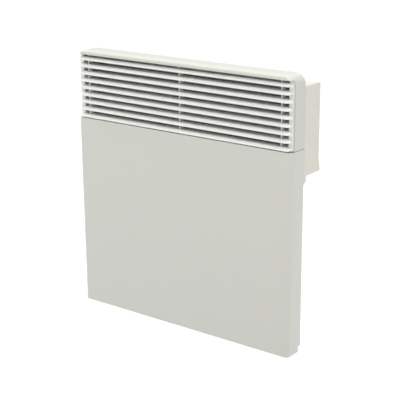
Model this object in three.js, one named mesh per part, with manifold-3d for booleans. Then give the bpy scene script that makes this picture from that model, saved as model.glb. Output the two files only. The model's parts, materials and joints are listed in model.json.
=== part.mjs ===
// Wall panel convector heater: a flat painted steel casing with a louvred warm-air outlet at the top
// front, a finned aluminium element inside, a control box behind the top right corner, and a folded
// steel bracket that carries it on the wall.
//
// Millimetres, +X to the viewer's right, +Y into the wall, +Z up. The origin is the centre of the
// bracket's cross-bar, on the wall. Pieces of the casing are drawn in the casing's own frame: x from its
// middle, y from the plane of the front panel back towards the wall, z up from its bottom edge.

import * as THREE from 'three';
import { mergeVertices } from 'three/addons/utils/BufferGeometryUtils.js';
import Module from 'manifold-3d';

const wasm = await Module();
wasm.setup();

// ---------------------------------------------------------------- driving dimensions
const WIDTH = 420;
const HEIGHT = 440;
const BODY_DEPTH = 35.5;
const WALL_DISTANCE = 83;

// Clearances: FIT between pieces that touch, RUN where one piece moves in another.
const FIT = 0.3;
const RUN = 0.8;

// Vertices closer than this to a flat face or straight edge are taken out of a finished piece.
const FLATNESS = 0.004;

// Casing sheet
const SHEET = 1;
const LIP = 9;
const HEM = 8;
const PANEL_BEND = 7;
const NOTCH_DEPTH = 5.5;
const NOTCH_HEIGHT = 9.2;
const SEAM_GAP = 0.8;

// Hood round the top of the casing
const HOOD_HEIGHT = 113;
const HOOD_WALL = 1.5;
const HOOD_CORNER = 16;
const HOOD_EDGE = 9;
const HOOD_BROW = 6.85;
const HOOD_SIDE_FRONT = 9;

// Louvred outlet
const BLADE_PITCH = 11.93;
const BLADE_DEPTH = 16;
const BLADE_HEIGHT = 4.7;
const BLADE_RISE = 5.2;
const BLADE_NOSE = 0.8;
const BLADE_TAIL = 1.4;
const BLADE_START = 1.2;
const BLADE_CORNER = 8;
const BLADE_INSET = 2.6;
const GRILLE_DEPTH = 19;
const GRILLE_FRONT = 7.2;
const GRILLE_STILE = 7.75;
const GRILLE_RAIL = 1.5;
const GRILLE_RIB = 1.2;
const GRILLE_RIB_FRONT = 5.2;
const GRILLE_RIB_INSET = 21.5;

// Rear panel and its slots
const SWAGE_WIDTH = 12;
const SWAGE_HEIGHT = 0.9;
const SIDE_FLANGE = 8;

// Bracket, its four hooks and two locks
const BRACKET_SHEET = 1.5;
const LEG_GAP = 18;
const LEG_FLANGE = 24;
const HOOK_LOW = 38;
const HOOK_DROP = 140;
const HOOK_WIDTH = 14;
const HOOK_RISE = 9;
const FACE_FLANGE = 26;
const LIFT = 12;
const ARM_HEIGHT = 46;
const SPINE_DEPTH = 18;
const CROSS_BAR = 44;
const WALL_SLOT_WIDTH = 6;
const WALL_SLOT_LENGTH = 13;
const LOCK_DROP = 62;
const LOCK_STEM = 2.7;
const LOCK_BAR_WIDTH = 6;
const LOCK_BAR_LENGTH = 17;
const LOCK_BAR_THICKNESS = 3;
const LOCK_TAB_LENGTH = 20;
const LOCK_TAB_THICKNESS = 4;
const LOCK_GRIP_WIDTH = 2;
const LOCK_GRIP_HEIGHT = 6;

// Air inlet
const INLET_SLOT_WIDTH = 6;
const INLET_SLOT_PITCH = 10.5;
const INLET_MARGIN = 4;
const INLET_TAB = 12;

// Heating element
const ELEMENT_HEIGHT = 96;
const ELEMENT_MARGIN = 60;
const FIN_CLEARANCE = 3.6;
const FIN_HEIGHT = 58;
const FIN_THICKNESS = 1.2;
const FIN_PITCH = 11.4;
const FIN_CORNER = 5;
const CORE_RADIUS = 6;
const CORE_WEB = 2.4;
const ROD_RADIUS = 4;
const ROD_END = 25;
const BUSH_RADIUS = 8;
const BUSH_NECK = 6.2;
const BUSH_LENGTH = 7;
const BEARER_GAP = 15;
const BEARER_HEIGHT = 44;
const TERMINAL_RADIUS = 5.5;
const TERMINAL_LENGTH = 9;

// Air guide behind the louvres
const GUIDE_RISE = 4.6;

// Safety cut-out and room sensor
const CUTOUT_RADIUS = 8;
const CUTOUT_LENGTH = 7;
const CUTOUT_BORDER = 2;
const CUTOUT_NECK = 4.8;
const CUTOUT_X = 66;
const CUTOUT_RISE = 82;
const SENSOR_RADIUS = 2.5;
const SENSOR_LENGTH = 22;
const SENSOR_SIDE = 26;
const SENSOR_Z = 36;

// Control box
const BOX_WIDTH = 110;
const BOX_WALL = 2;
const BOX_DROP = 19.4;
const BOX_HEIGHT = 137.6;
const BOX_WALL_GAP = 4.25;
const SKIRT_WALL_GAP = 0.5;
const SKIRT_FLAT = 6;
const SKIRT_HEIGHT = 26;
const BOX_FOOT_DROP = 13.3;
const BOX_FOOT_DEPTH = 8.5;
const BOX_CORNER = 4;
const INLET_BORE = 7;
const GLAND_SIDE = 33;
const FASCIA_THICKNESS = 1.2;
const FASCIA_MARGIN = 4;
const FASCIA_SIDE = 24;
const FASCIA_RIM = 5.025;

// Controls
const KNOB_RADIUS = 15;
const KNOB_HEIGHT = 9;
const KNOB_FLUTES = 20;
const KNOB_FLUTE_DEPTH = 0.9;
const KNOB_CHAMFER = 1.5;
const POINTER_WIDTH = 1.8;
const POINTER_RISE = 0.8;
const KNOB_MARGIN = 9;
const SPINDLE_RADIUS = 3;
const SPINDLE_RISE = 8;
const ROCKER_MARGIN = 20;
const ROCKER_WIDTH = 11;
const ROCKER_DEPTH = 6;
const ROCKER_TILT = 8;
const ROCKER_SINK = 1.2;
const SWITCH_WALL = 1.5;
const SWITCH_DEPTH = 24;
const LENS_RADIUS = 2.6;
const THERMOSTAT_SIZE = 22;
const THERMOSTAT_DEPTH = 15;
const BOARD_WIDTH = 86;
const BOARD_HEIGHT = 68;
const BOARD_THICKNESS = 1.6;
const BOARD_GAP = 3;
const BOARD_RISE = 40;
const BOARD_SIDE = 4;
const RELAY_SIZE = [19, 15, 15];
const TRANSFORMER_SIZE = [24, 18, 22];
const CAPACITOR_RADIUS = 5;
const CAPACITOR_LENGTH = 13;
const CONNECTOR_WIDTH = 14;
const CONNECTOR_DEPTH = 10;
const CONNECTOR_GRIP = 6;
const CONNECTOR_DROP = 5;
const TERMINAL_BLOCK_LENGTH = 36;
const TERMINAL_BLOCK_POLES = 3;
const TERMINAL_BLOCK_DEPTH = 14;
const TERMINAL_BLOCK_HEIGHT = 15;
const TERMINAL_BLOCK_BASE = 8;
const TERMINAL_BLOCK_GAP = 3.6;
const TERMINAL_BLOCK_SIDE = 30;
const TERMINAL_SCREW_RADIUS = 1.8;

// Internal wires
const WIRE_RADIUS = 1.3;
const WIRE_HOLE_RADIUS = 5;
const WIRE_HOLE_SIDE = 49.5;
const WIRE_HOLE_RISE = 22;
const WIRE_STEP = 11;
const WIRE_SIDES = 8;

// ---------------------------------------------------------------- values worked out from them
const SIDE = WIDTH / 2;
const INNER_SIDE = SIDE - SHEET;
const REAR_FRONT = BODY_DEPTH - SHEET - FIT - SHEET;
const REAR_BACK = REAR_FRONT + SHEET;
const INNER_DEPTH = REAR_FRONT - SHEET;
const HOOK_HIGH = HEIGHT - HOOK_DROP;
const ORIGIN_HEIGHT = (HOOK_LOW + HOOK_HIGH) / 2;
const FLANGE_BACK = WALL_DISTANCE - REAR_BACK - FIT;
const SEAM_HEIGHT = HEIGHT - HOOD_HEIGHT;
const PANEL_TOP = SEAM_HEIGHT - SEAM_GAP / 2;
const HOOD_FOOT = SEAM_HEIGHT + SEAM_GAP / 2;
const BROW_HEIGHT = HEIGHT - HOOD_BROW;
const BLADE_COUNT = 1 + Math.floor((BROW_HEIGHT - HOOD_FOOT - BLADE_START - BLADE_HEIGHT) / BLADE_PITCH);
const ELEMENT_LENGTH = WIDTH - ELEMENT_MARGIN * 2;
const FIN_DEPTH = INNER_DEPTH - FIN_CLEARANCE * 2;
const ROD_LENGTH = ELEMENT_LENGTH + ROD_END * 2;
const BEARER_SPACING = ELEMENT_LENGTH + BEARER_GAP * 2;
const CUTOUT_Z = ELEMENT_HEIGHT + CUTOUT_RISE;
const BOX_LEFT = SIDE - BOX_WIDTH;
const BOX_FRONT = REAR_BACK + FIT;
const BOX_BACK = WALL_DISTANCE - BOX_WALL_GAP;
const BOX_TOP = HEIGHT - BOX_DROP;
const BOX_BOTTOM = BOX_TOP - BOX_HEIGHT;
const BOX_FOOT = BOX_BOTTOM - BOX_FOOT_DROP;
const FOOT_BACK = BOX_FRONT + BOX_FOOT_DEPTH;
const BOX_MIDDLE_Y = (BODY_DEPTH + BOX_BACK) / 2;
const LEG_X = BOX_LEFT - LEG_GAP;
const LOCK_HEIGHT = HOOK_HIGH - LOCK_DROP;

// ---------------------------------------------------------------- materials
const paint = (color, roughness, metalness = 0) =>
  new THREE.MeshStandardMaterial({ color, roughness, metalness, flatShading: true });

const whiteEnamel = paint(0xe9e8e2, 0.42);
const whitePlastic = paint(0xeeeeea, 0.5);
const galvanised = paint(0xa9adad, 0.45, 0.85);
const bracketPaint = paint(0xdedfd9, 0.5);
const guidePaint = paint(0x4a4e4b, 0.6);
const aluminium = paint(0xb9bcbe, 0.4, 0.9);
const steel = paint(0x8c8f90, 0.35, 0.9);
const ceramic = paint(0xe8e1d2, 0.6);
const silicone = paint(0x8d3b2e, 0.7);
const greyPlastic = paint(0x7b8081, 0.55);
const blackPlastic = paint(0x242628, 0.45);
const redLens = paint(0xc8331f, 0.2);
const boardGreen = paint(0x2d5a3c, 0.6);
const wireBrown = paint(0x5f3d28, 0.6);
const wireBlue = paint(0x2f4f86, 0.6);

// ---------------------------------------------------------------- solid helpers
function solid(geometry) {
  const bare = new THREE.BufferGeometry();
  bare.setAttribute('position', geometry.getAttribute('position'));
  bare.setIndex(geometry.getIndex());
  const merged = mergeVertices(bare);
  return new wasm.Manifold(
    new wasm.Mesh({
      numProp: 3,
      vertProperties: new Float32Array(merged.getAttribute('position').array),
      triVerts: new Uint32Array(merged.getIndex().array),
    }),
  );
}

const join = (first, ...others) => others.reduce((whole, part) => whole.add(part), first);
const cut = (first, ...others) => others.reduce((rest, tool) => rest.subtract(tool), first);

function toMesh(name, manifold, material) {
  const { vertProperties, triVerts } = manifold.asOriginal().simplify(FLATNESS).getMesh();
  const geometry = new THREE.BufferGeometry();
  geometry.setAttribute('position', new THREE.BufferAttribute(vertProperties, 3));
  geometry.setIndex(new THREE.BufferAttribute(triVerts, 1));
  geometry.computeVertexNormals();
  const mesh = new THREE.Mesh(geometry, material);
  mesh.name = name;
  return mesh;
}

function block(x0, x1, y0, y1, z0, z1) {
  const geometry = new THREE.BoxGeometry(x1 - x0, y1 - y0, z1 - z0);
  return solid(geometry.translate((x0 + x1) / 2, (y0 + y1) / 2, (z0 + z1) / 2));
}

const extrude = (shape, depth, curveSegments) =>
  new THREE.ExtrudeGeometry(shape, { depth, curveSegments, bevelEnabled: false });

// A shape drawn in (x, y), carried up from z0 to z1.
const alongZ = (shape, z0, z1, curveSegments = 6) =>
  solid(extrude(shape, z1 - z0, curveSegments).translate(0, 0, z0));

// A shape drawn in (x, z), carried back from y0 to y1.
const alongY = (shape, y0, y1, curveSegments = 6) =>
  solid(extrude(shape, y1 - y0, curveSegments).rotateX(Math.PI / 2).translate(0, y1, 0));

// A shape drawn in (y, z), carried right from x0 to x1.
const alongX = (shape, x0, x1, curveSegments = 6) =>
  solid(
    extrude(shape, x1 - x0, curveSegments)
      .rotateX(Math.PI / 2)
      .rotateZ(Math.PI / 2)
      .translate(x0, 0, 0),
  );

const rodZ = (radius, z0, z1, sides = 24) =>
  solid(
    new THREE.CylinderGeometry(radius, radius, z1 - z0, sides)
      .rotateX(Math.PI / 2)
      .translate(0, 0, (z0 + z1) / 2),
  );

const rodX = (radius, x0, x1, sides = 24) =>
  solid(
    new THREE.CylinderGeometry(radius, radius, x1 - x0, sides)
      .rotateZ(Math.PI / 2)
      .translate((x0 + x1) / 2, 0, 0),
  );

const rodY = (radius, y0, y1, sides = 24) =>
  solid(new THREE.CylinderGeometry(radius, radius, y1 - y0, sides).translate(0, (y0 + y1) / 2, 0));

// A profile of [radius, height] points turned round Z. The first and last points lie on the axis, or
// the profile closes on itself.
const turned = (points, sides = 16) =>
  solid(
    new THREE.LatheGeometry(
      points.map(([radius, height]) => new THREE.Vector2(radius, height)),
      sides,
    ).rotateX(Math.PI / 2),
  );

function polygon(points) {
  return new THREE.Shape(points.map(([a, b]) => new THREE.Vector2(a, b)));
}

function roundedRectangle(a0, a1, b0, b1, radius) {
  const shape = new THREE.Shape();
  shape.absarc(a1 - radius, b1 - radius, radius, 0, Math.PI / 2);
  shape.absarc(a0 + radius, b1 - radius, radius, Math.PI / 2, Math.PI);
  shape.absarc(a0 + radius, b0 + radius, radius, Math.PI, Math.PI * 1.5);
  shape.absarc(a1 - radius, b0 + radius, radius, Math.PI * 1.5, Math.PI * 2);
  return shape;
}

const mirrored = (manifold) => manifold.mirror([1, 0, 0]);

// ---------------------------------------------------------------- casing outlines
// Plan of the casing, inset by a distance, with its two front corners rounded.
function planOutline(inset, back, radius) {
  const half = SIDE - inset;
  const shape = new THREE.Shape();
  shape.moveTo(half, back);
  shape.lineTo(-half, back);
  shape.absarc(-half + radius, inset + radius, radius, Math.PI, Math.PI * 1.5);
  shape.absarc(half - radius, inset + radius, radius, Math.PI * 1.5, Math.PI * 2);
  return shape;
}

// Front view of the hood, inset by a distance, with its two top corners rounded. It runs on below the
// seam, where it is cut off.
function hoodOutline(inset, foot) {
  const half = SIDE - inset;
  const radius = HOOD_CORNER - inset;
  const shape = new THREE.Shape();
  shape.moveTo(-half, foot);
  shape.lineTo(half, foot);
  shape.absarc(half - radius, HEIGHT - inset - radius, radius, 0, Math.PI / 2);
  shape.absarc(-half + radius, HEIGHT - inset - radius, radius, Math.PI / 2, Math.PI);
  return shape;
}

// The hood's outline carried back, with the front edge rounded all the way round.
function hoodBody(inset, back) {
  const edge = HOOD_EDGE - inset;
  const depth = BODY_DEPTH;
  const geometry = new THREE.ExtrudeGeometry(hoodOutline(inset, SEAM_HEIGHT - HOOD_CORNER * 2), {
    depth,
    curveSegments: 7,
    bevelEnabled: true,
    bevelThickness: edge,
    bevelSize: edge,
    bevelOffset: -edge,
    bevelSegments: 5,
  });
  const body = solid(geometry.rotateX(Math.PI / 2).translate(0, inset + depth + edge, 0));
  return cut(
    body,
    block(-WIDTH, WIDTH, back, BODY_DEPTH * 3, 0, HEIGHT * 2),
    block(-WIDTH, WIDTH, -WIDTH, WIDTH, 0, HOOD_FOOT),
  );
}

// ---------------------------------------------------------------- casing sheet metal
// Folded front panel: front, two full-depth sides with lips at the back, hems at the top and bottom.
function frontPanel() {
  const outer = alongZ(planOutline(0, BODY_DEPTH, PANEL_BEND), 0, PANEL_TOP);
  const inner = alongZ(
    planOutline(SHEET, BODY_DEPTH - SHEET, PANEL_BEND - SHEET),
    -SHEET,
    PANEL_TOP + SHEET,
  );
  const window = block(
    -(INNER_SIDE - LIP),
    INNER_SIDE - LIP,
    BODY_DEPTH / 2,
    BODY_DEPTH + SHEET,
    -SHEET,
    PANEL_TOP + SHEET,
  );
  const hemStrip = (z) =>
    cut(
      alongZ(planOutline(0, BODY_DEPTH, PANEL_BEND), z, z + SHEET),
      block(-WIDTH, WIDTH, HEM, WIDTH, z - SHEET, z + SHEET * 2),
    );
  const notch = block(-WIDTH, WIDTH, BODY_DEPTH - NOTCH_DEPTH, WIDTH, -SHEET, NOTCH_HEIGHT);
  return cut(join(cut(outer, inner, window), hemStrip(0), hemStrip(PANEL_TOP - SHEET)), notch);
}

// Pressed hood: an inverted U with a rounded front edge, open in front below its brow, where the
// louvres show, and lipped at the back.
function topHood() {
  const shell = cut(hoodBody(0, BODY_DEPTH), hoodBody(HOOD_WALL, BODY_DEPTH - SHEET));
  const outlet = block(-WIDTH, WIDTH, -1, HOOD_SIDE_FRONT, 0, BROW_HEIGHT);
  const window = alongY(hoodOutline(HOOD_WALL + LIP, 0), BODY_DEPTH / 2, BODY_DEPTH * 2);
  const foot = block(-(SIDE - HOOD_WALL), SIDE - HOOD_WALL, -1, BODY_DEPTH - SHEET, 0, BROW_HEIGHT / 2);
  return cut(shell, outlet, window, foot);
}

// Rear panel: flat sheet with forward side flanges, two pressed swages, slots for the bracket's hooks
// and locks, and a hole for the element's wires.
function rearPanel() {
  const half = SIDE - HOOD_WALL - FIT;
  const top = HEIGHT - HOOD_WALL - FIT;
  const corner = HOOD_CORNER - HOOD_WALL - FIT;
  const foot = NOTCH_HEIGHT + FIT;
  const outline = new THREE.Shape();
  outline.moveTo(-half, foot);
  outline.lineTo(half, foot);
  outline.absarc(half - corner, top - corner, corner, 0, Math.PI / 2);
  outline.absarc(-half + corner, top - corner, corner, Math.PI / 2, Math.PI);
  let panel = alongY(outline, REAR_FRONT, REAR_BACK);
  for (const side of [-1, 1]) {
    const inner = side > 0 ? half - SHEET : -half;
    panel = panel.add(
      block(inner, inner + SHEET, REAR_FRONT - SIDE_FLANGE, REAR_FRONT + SHEET / 2, foot, top - corner),
    );
    const swage = (grow, y0, y1) =>
      alongY(
        roundedRectangle(
          side * (SIDE * 0.7) - SWAGE_WIDTH / 2 - grow,
          side * (SIDE * 0.7) + SWAGE_WIDTH / 2 + grow,
          HOOK_LOW - grow,
          BOX_FOOT - HOOK_LOW + grow,
          SWAGE_WIDTH / 2 + grow,
        ),
        y0,
        y1,
        3,
      );
    panel = cut(
      panel.add(swage(SWAGE_HEIGHT, REAR_FRONT - SWAGE_HEIGHT, REAR_BACK - SHEET / 2)),
      swage(0, REAR_BACK - SWAGE_HEIGHT, REAR_BACK + 1),
    );
    for (const height of [HOOK_LOW, HOOK_HIGH]) {
      const reach = HOOK_WIDTH / 2 + RUN;
      const middle = side * hookX();
      panel = panel.subtract(
        block(
          middle - reach,
          middle + reach,
          REAR_FRONT - 1,
          REAR_BACK + 1,
          height - BRACKET_SHEET - LIFT - RUN,
          height + FIT,
        ),
      );
    }
    panel = panel.subtract(
      alongY(
        roundedRectangle(
          side * lockX() - LOCK_BAR_WIDTH / 2 - RUN,
          side * lockX() + LOCK_BAR_WIDTH / 2 + RUN,
          LOCK_HEIGHT - LOCK_BAR_LENGTH / 2 - LIFT - RUN,
          LOCK_HEIGHT + LOCK_BAR_LENGTH / 2 + RUN,
          LOCK_BAR_WIDTH / 2,
        ),
        REAR_FRONT - 1,
        REAR_BACK + 1,
        3,
      ),
    );
  }
  const wireHole = rodY(WIRE_HOLE_RADIUS, REAR_FRONT - 1, REAR_BACK + 1, 16);
  return cut(panel, wireHole.translate([wireHoleX(), 0, wireHoleZ()]));
}

// Slotted strip across the bottom, folded up at the back where it is fixed to the rear panel.
function inletGrille() {
  const half = SIDE - HOOD_WALL - FIT - SHEET - FIT;
  const front = SHEET + FIT;
  const back = REAR_FRONT - FIT;
  const base = NOTCH_HEIGHT + FIT;
  const section = polygon([
    [front, base],
    [back, base],
    [back, base + INLET_TAB],
    [back - SHEET, base + INLET_TAB],
    [back - SHEET, base + SHEET],
    [front, base + SHEET],
  ]);
  const ends = PANEL_BEND + INLET_SLOT_WIDTH;
  const count = Math.floor((2 * (half - ends)) / INLET_SLOT_PITCH) + 1;
  let strip = alongX(section, -half, half);
  strip = strip.intersect(alongZ(planOutline(front, BODY_DEPTH, PANEL_BEND - SHEET), 0, HEIGHT));
  for (let i = 0; i < count; i += 1) {
    const x = (i - (count - 1) / 2) * INLET_SLOT_PITCH;
    strip = strip.subtract(
      block(
        x - INLET_SLOT_WIDTH / 2,
        x + INLET_SLOT_WIDTH / 2,
        front + INLET_MARGIN,
        back - SHEET - INLET_MARGIN,
        base - 1,
        base + SHEET + 1,
      ),
    );
  }
  return strip;
}

// ---------------------------------------------------------------- louvred outlet
// One blade in section: a small round nose low at the front, a face that leans back at 45 degrees from
// it to a rounded shoulder, and a plate that thins and climbs a little to the rear.
function bladeSection(base) {
  const shape = new THREE.Shape();
  const top = base + BLADE_HEIGHT;
  const shoulder = BLADE_HEIGHT - BLADE_NOSE * Math.SQRT2;
  shape.moveTo(BLADE_DEPTH, base + BLADE_RISE - BLADE_TAIL);
  shape.lineTo(BLADE_DEPTH, base + BLADE_RISE);
  shape.lineTo(shoulder + BLADE_NOSE * 0.75, top);
  shape.quadraticCurveTo(shoulder, top, shoulder - BLADE_NOSE / 2, top - BLADE_NOSE / 2);
  shape.absarc(BLADE_NOSE, base + BLADE_NOSE, BLADE_NOSE, Math.PI * 0.75, Math.PI * 1.5);
  return shape;
}

// One moulding: blades with ends rounded back in plan, thin upright ribs behind their noses, a stile at
// each end, and a rail along the top and the bottom.
function outletGrille() {
  const reach = SIDE - HOOD_WALL - FIT;
  const foot = HOOD_FOOT + FIT;
  const topRail = BROW_HEIGHT + FIT;
  const plan = alongZ(planOutline(BLADE_INSET, GRILLE_DEPTH, BLADE_CORNER), foot, HEIGHT, 5);
  const noses = plan.translate([0, -BLADE_INSET, 0]);
  let blades = null;
  for (let i = 0; i < BLADE_COUNT; i += 1) {
    const blade = alongX(bladeSection(HOOD_FOOT + BLADE_START - FIT + i * BLADE_PITCH), -reach, reach, 4);
    blades = blades ? blades.add(blade) : blade;
  }
  blades = blades.intersect(noses);
  const stile = block(reach - GRILLE_STILE, reach, GRILLE_FRONT, GRILLE_DEPTH, foot, HEIGHT);
  const rib = (x) =>
    block(x - GRILLE_RIB / 2, x + GRILLE_RIB / 2, GRILLE_RIB_FRONT, BLADE_DEPTH, foot, topRail + FIT);
  const rails = join(
    block(-reach, reach, GRILLE_FRONT, GRILLE_DEPTH, foot, foot + GRILLE_RAIL),
    block(-reach, reach, GRILLE_FRONT, GRILLE_DEPTH, topRail, HEIGHT),
  );
  const frame = join(
    stile,
    mirrored(stile),
    rails,
    rib(0),
    rib(SIDE - GRILLE_RIB_INSET),
    rib(GRILLE_RIB_INSET - SIDE),
  ).intersect(hoodBody(HOOD_WALL + FIT, GRILLE_DEPTH));
  return blades.add(frame);
}

// Dark sheet that shields the rear panel behind the louvres and curves forward at the top to turn the
// rising air out through them.
function airGuide() {
  const top = HEIGHT - HOOD_WALL - FIT * 2;
  const back = REAR_FRONT - FIT;
  const half = SIDE - HOOD_CORNER - FIT;
  const radius = back - GRILLE_DEPTH - FIT;
  const foot = HOOD_FOOT + GUIDE_RISE;
  const shape = new THREE.Shape();
  shape.moveTo(back - SHEET, foot);
  shape.lineTo(back, foot);
  shape.absarc(back - radius, top - radius, radius, 0, Math.PI / 2);
  shape.lineTo(back - radius, top - SHEET);
  shape.absarc(back - radius, top - radius, radius - SHEET, Math.PI / 2, 0, true);
  return alongX(shape, -half, half, 8);
}

// ---------------------------------------------------------------- heating element
const elementY = () => (SHEET + REAR_FRONT) / 2;

// Extruded core with a bore for the sheathed rod, and upright fins across it.
function heatingElement() {
  const half = ELEMENT_LENGTH / 2;
  const webHalf = FIN_HEIGHT / 2 - FIN_CORNER;
  const finCount = Math.floor((ELEMENT_LENGTH - FIN_THICKNESS) / FIN_PITCH) + 1;
  let body = join(
    rodX(CORE_RADIUS, -half, half, 12),
    block(-half, half, -CORE_WEB / 2, CORE_WEB / 2, -webHalf, webHalf),
  );
  const outline = roundedRectangle(
    -FIN_DEPTH / 2,
    FIN_DEPTH / 2,
    -FIN_HEIGHT / 2,
    FIN_HEIGHT / 2,
    FIN_CORNER,
  );
  for (let i = 0; i < finCount; i += 1) {
    const x = (i - (finCount - 1) / 2) * FIN_PITCH - FIN_THICKNESS / 2;
    body = body.add(alongX(outline, x, x + FIN_THICKNESS, 1));
  }
  return body.subtract(rodX(ROD_RADIUS + FIT, -half - 1, half + 1, 12));
}

const elementRod = () => rodX(ROD_RADIUS, -ROD_LENGTH / 2, ROD_LENGTH / 2, 12);

// Ceramic collar and contact pin on each end of the rod.
function elementTerminal() {
  const start = ROD_LENGTH / 2 + FIT;
  return join(
    rodX(TERMINAL_RADIUS, start, start + TERMINAL_LENGTH, 20),
    rodX(TERMINAL_RADIUS / 3, start, start + TERMINAL_LENGTH * 1.5, 12),
  );
}

// Soft ring with a groove that sits in the bearer and lets the rod grow in length without noise.
function rodBush() {
  const bore = ROD_RADIUS + FIT;
  const flange = (BUSH_LENGTH - SHEET - FIT * 2) / 2;
  return turned([
    [bore, -BUSH_LENGTH / 2],
    [BUSH_RADIUS, -BUSH_LENGTH / 2],
    [BUSH_RADIUS, -BUSH_LENGTH / 2 + flange],
    [BUSH_NECK, -BUSH_LENGTH / 2 + flange],
    [BUSH_NECK, BUSH_LENGTH / 2 - flange],
    [BUSH_RADIUS, BUSH_LENGTH / 2 - flange],
    [BUSH_RADIUS, BUSH_LENGTH / 2],
    [bore, BUSH_LENGTH / 2],
    [bore, -BUSH_LENGTH / 2],
  ]).rotate([0, 90, 0]);
}

// Folded bearer that carries one end of the element off the rear panel.
function elementBearer() {
  const back = REAR_FRONT - FIT - elementY();
  const front = -FIN_DEPTH / 2;
  const upright = alongX(
    roundedRectangle(front, back, -BEARER_HEIGHT / 2, BEARER_HEIGHT / 2, 3),
    -SHEET / 2,
    SHEET / 2,
    3,
  );
  const foot = block(-SHEET / 2, HEM * 1.5, back - SHEET, back, -BEARER_HEIGHT / 2, BEARER_HEIGHT / 2);
  return cut(join(upright, foot), rodX(BUSH_NECK + FIT, -SHEET, SHEET));
}

// ---------------------------------------------------------------- cut-out and sensor
function cutoutBracket() {
  const back = REAR_FRONT - FIT;
  const half = CUTOUT_RADIUS + CUTOUT_BORDER;
  const section = polygon([
    [back, 0],
    [back, INLET_TAB],
    [back - SHEET, INLET_TAB],
    [back - SHEET, SHEET],
    [elementY() - CUTOUT_RADIUS, SHEET],
    [elementY() - CUTOUT_RADIUS, 0],
  ]);
  const plate = alongX(section, CUTOUT_X - half, CUTOUT_X + half);
  const hole = rodZ(CUTOUT_NECK, -1, SHEET + 1).translate([CUTOUT_X, elementY(), 0]);
  return plate.subtract(hole).translate([0, 0, CUTOUT_Z]);
}

// Round bimetal cut-out with its flange under the bracket's shelf and its body through the hole.
function thermalCutout() {
  const neck = CUTOUT_NECK - FIT;
  return turned([
    [0, -FIT - CUTOUT_LENGTH],
    [CUTOUT_RADIUS - 1.5, -FIT - CUTOUT_LENGTH],
    [CUTOUT_RADIUS, -FIT - CUTOUT_LENGTH + 1.5],
    [CUTOUT_RADIUS, -FIT],
    [neck, -FIT],
    [neck, SHEET + 3],
    [0, SHEET + 3],
  ]).translate([CUTOUT_X, elementY(), CUTOUT_Z]);
}

const sensorX = () => SIDE - SENSOR_SIDE;

// Probe lying across the incoming air, and the clip that holds it off the rear panel.
function roomSensor() {
  return rodX(SENSOR_RADIUS, -SENSOR_LENGTH / 2, SENSOR_LENGTH / 2, 16).translate([
    sensorX(),
    elementY(),
    SENSOR_Z,
  ]);
}

function sensorClip() {
  const back = REAR_FRONT - FIT;
  const reach = SENSOR_RADIUS + FIT;
  const arm = SENSOR_LENGTH / 4;
  const centre = elementY();
  const stem = block(-arm, arm, centre, back, -reach, reach);
  const ring = rodX(reach + SHEET * 1.5, -arm, arm, 20).translate([0, centre, 0]);
  const throat = block(-arm - 1, arm + 1, centre - reach * 3, centre, -reach * 0.7, reach * 0.7);
  const bore = rodX(reach, -arm - 1, arm + 1, 16).translate([0, centre, 0]);
  return cut(join(stem, ring), bore, throat).translate([sensorX(), 0, SENSOR_Z]);
}

// ---------------------------------------------------------------- control box
// Side view of the box: a flat back, a skirt flared to the wall at its foot, and a short stepped foot
// in front that lies against the casing.
function boxSection() {
  const skirt = WALL_DISTANCE - SKIRT_WALL_GAP;
  const flat = BOX_BOTTOM + SKIRT_FLAT;
  const flare = BOX_BOTTOM + SKIRT_HEIGHT;
  const shape = new THREE.Shape();
  shape.moveTo(BOX_FRONT, BOX_FOOT);
  shape.lineTo(FOOT_BACK, BOX_FOOT + BOX_FOOT_DEPTH / 2);
  shape.lineTo(FOOT_BACK, BOX_BOTTOM);
  shape.lineTo(skirt, BOX_BOTTOM);
  shape.lineTo(skirt, flat);
  shape.quadraticCurveTo(BOX_BACK, flat + (flare - flat) / 3, BOX_BACK, flare);
  shape.absarc(BOX_BACK - BOX_CORNER, BOX_TOP - BOX_CORNER, BOX_CORNER, 0, Math.PI / 2);
  shape.lineTo(BOX_FRONT, BOX_TOP);
  return shape;
}

const fasciaX0 = () => BOX_LEFT + FASCIA_MARGIN;
const fasciaX1 = () => SIDE - FASCIA_SIDE;
const knobX = () => fasciaX0() + KNOB_MARGIN + KNOB_RADIUS;
const rockerX = () => fasciaX1() - ROCKER_MARGIN;
const fasciaY0 = () => BODY_DEPTH + FASCIA_MARGIN;
const fasciaY1 = () => BOX_BACK - BOX_CORNER;
const fasciaZ = () => BOX_TOP - FASCIA_THICKNESS;
const lensX = () => (knobX() + KNOB_RADIUS + rockerX() - ROCKER_WIDTH / 2) / 2;
const lensY = () => fasciaY1() - LENS_RADIUS * 2.2;
const glandX = () => BOX_LEFT + GLAND_SIDE;
const glandY = () => (FOOT_BACK + BOX_BACK) / 2;
const wireHoleX = () => BOX_LEFT + WIRE_HOLE_SIDE;
const wireHoleZ = () => BOX_BOTTOM + WIRE_HOLE_RISE;
const boardFront = () => BODY_DEPTH + BOARD_GAP;
const boardFoot = () => BOX_BOTTOM + BOARD_RISE;
const rockerLength = () => fasciaY1() - fasciaY0() - (FASCIA_RIM + FIT + SWITCH_WALL + RUN) * 2;

const switchHalfX = () => ROCKER_WIDTH / 2 + RUN / 2 + SWITCH_WALL;
const switchHalfY = () => rockerLength() / 2 + RUN + SWITCH_WALL;

const switchWindow = (grow, z0, z1) =>
  block(
    rockerX() - switchHalfX() - grow,
    rockerX() + switchHalfX() + grow,
    BOX_MIDDLE_Y - switchHalfY() - grow,
    BOX_MIDDLE_Y + switchHalfY() + grow,
    z0,
    z1,
  );

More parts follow.
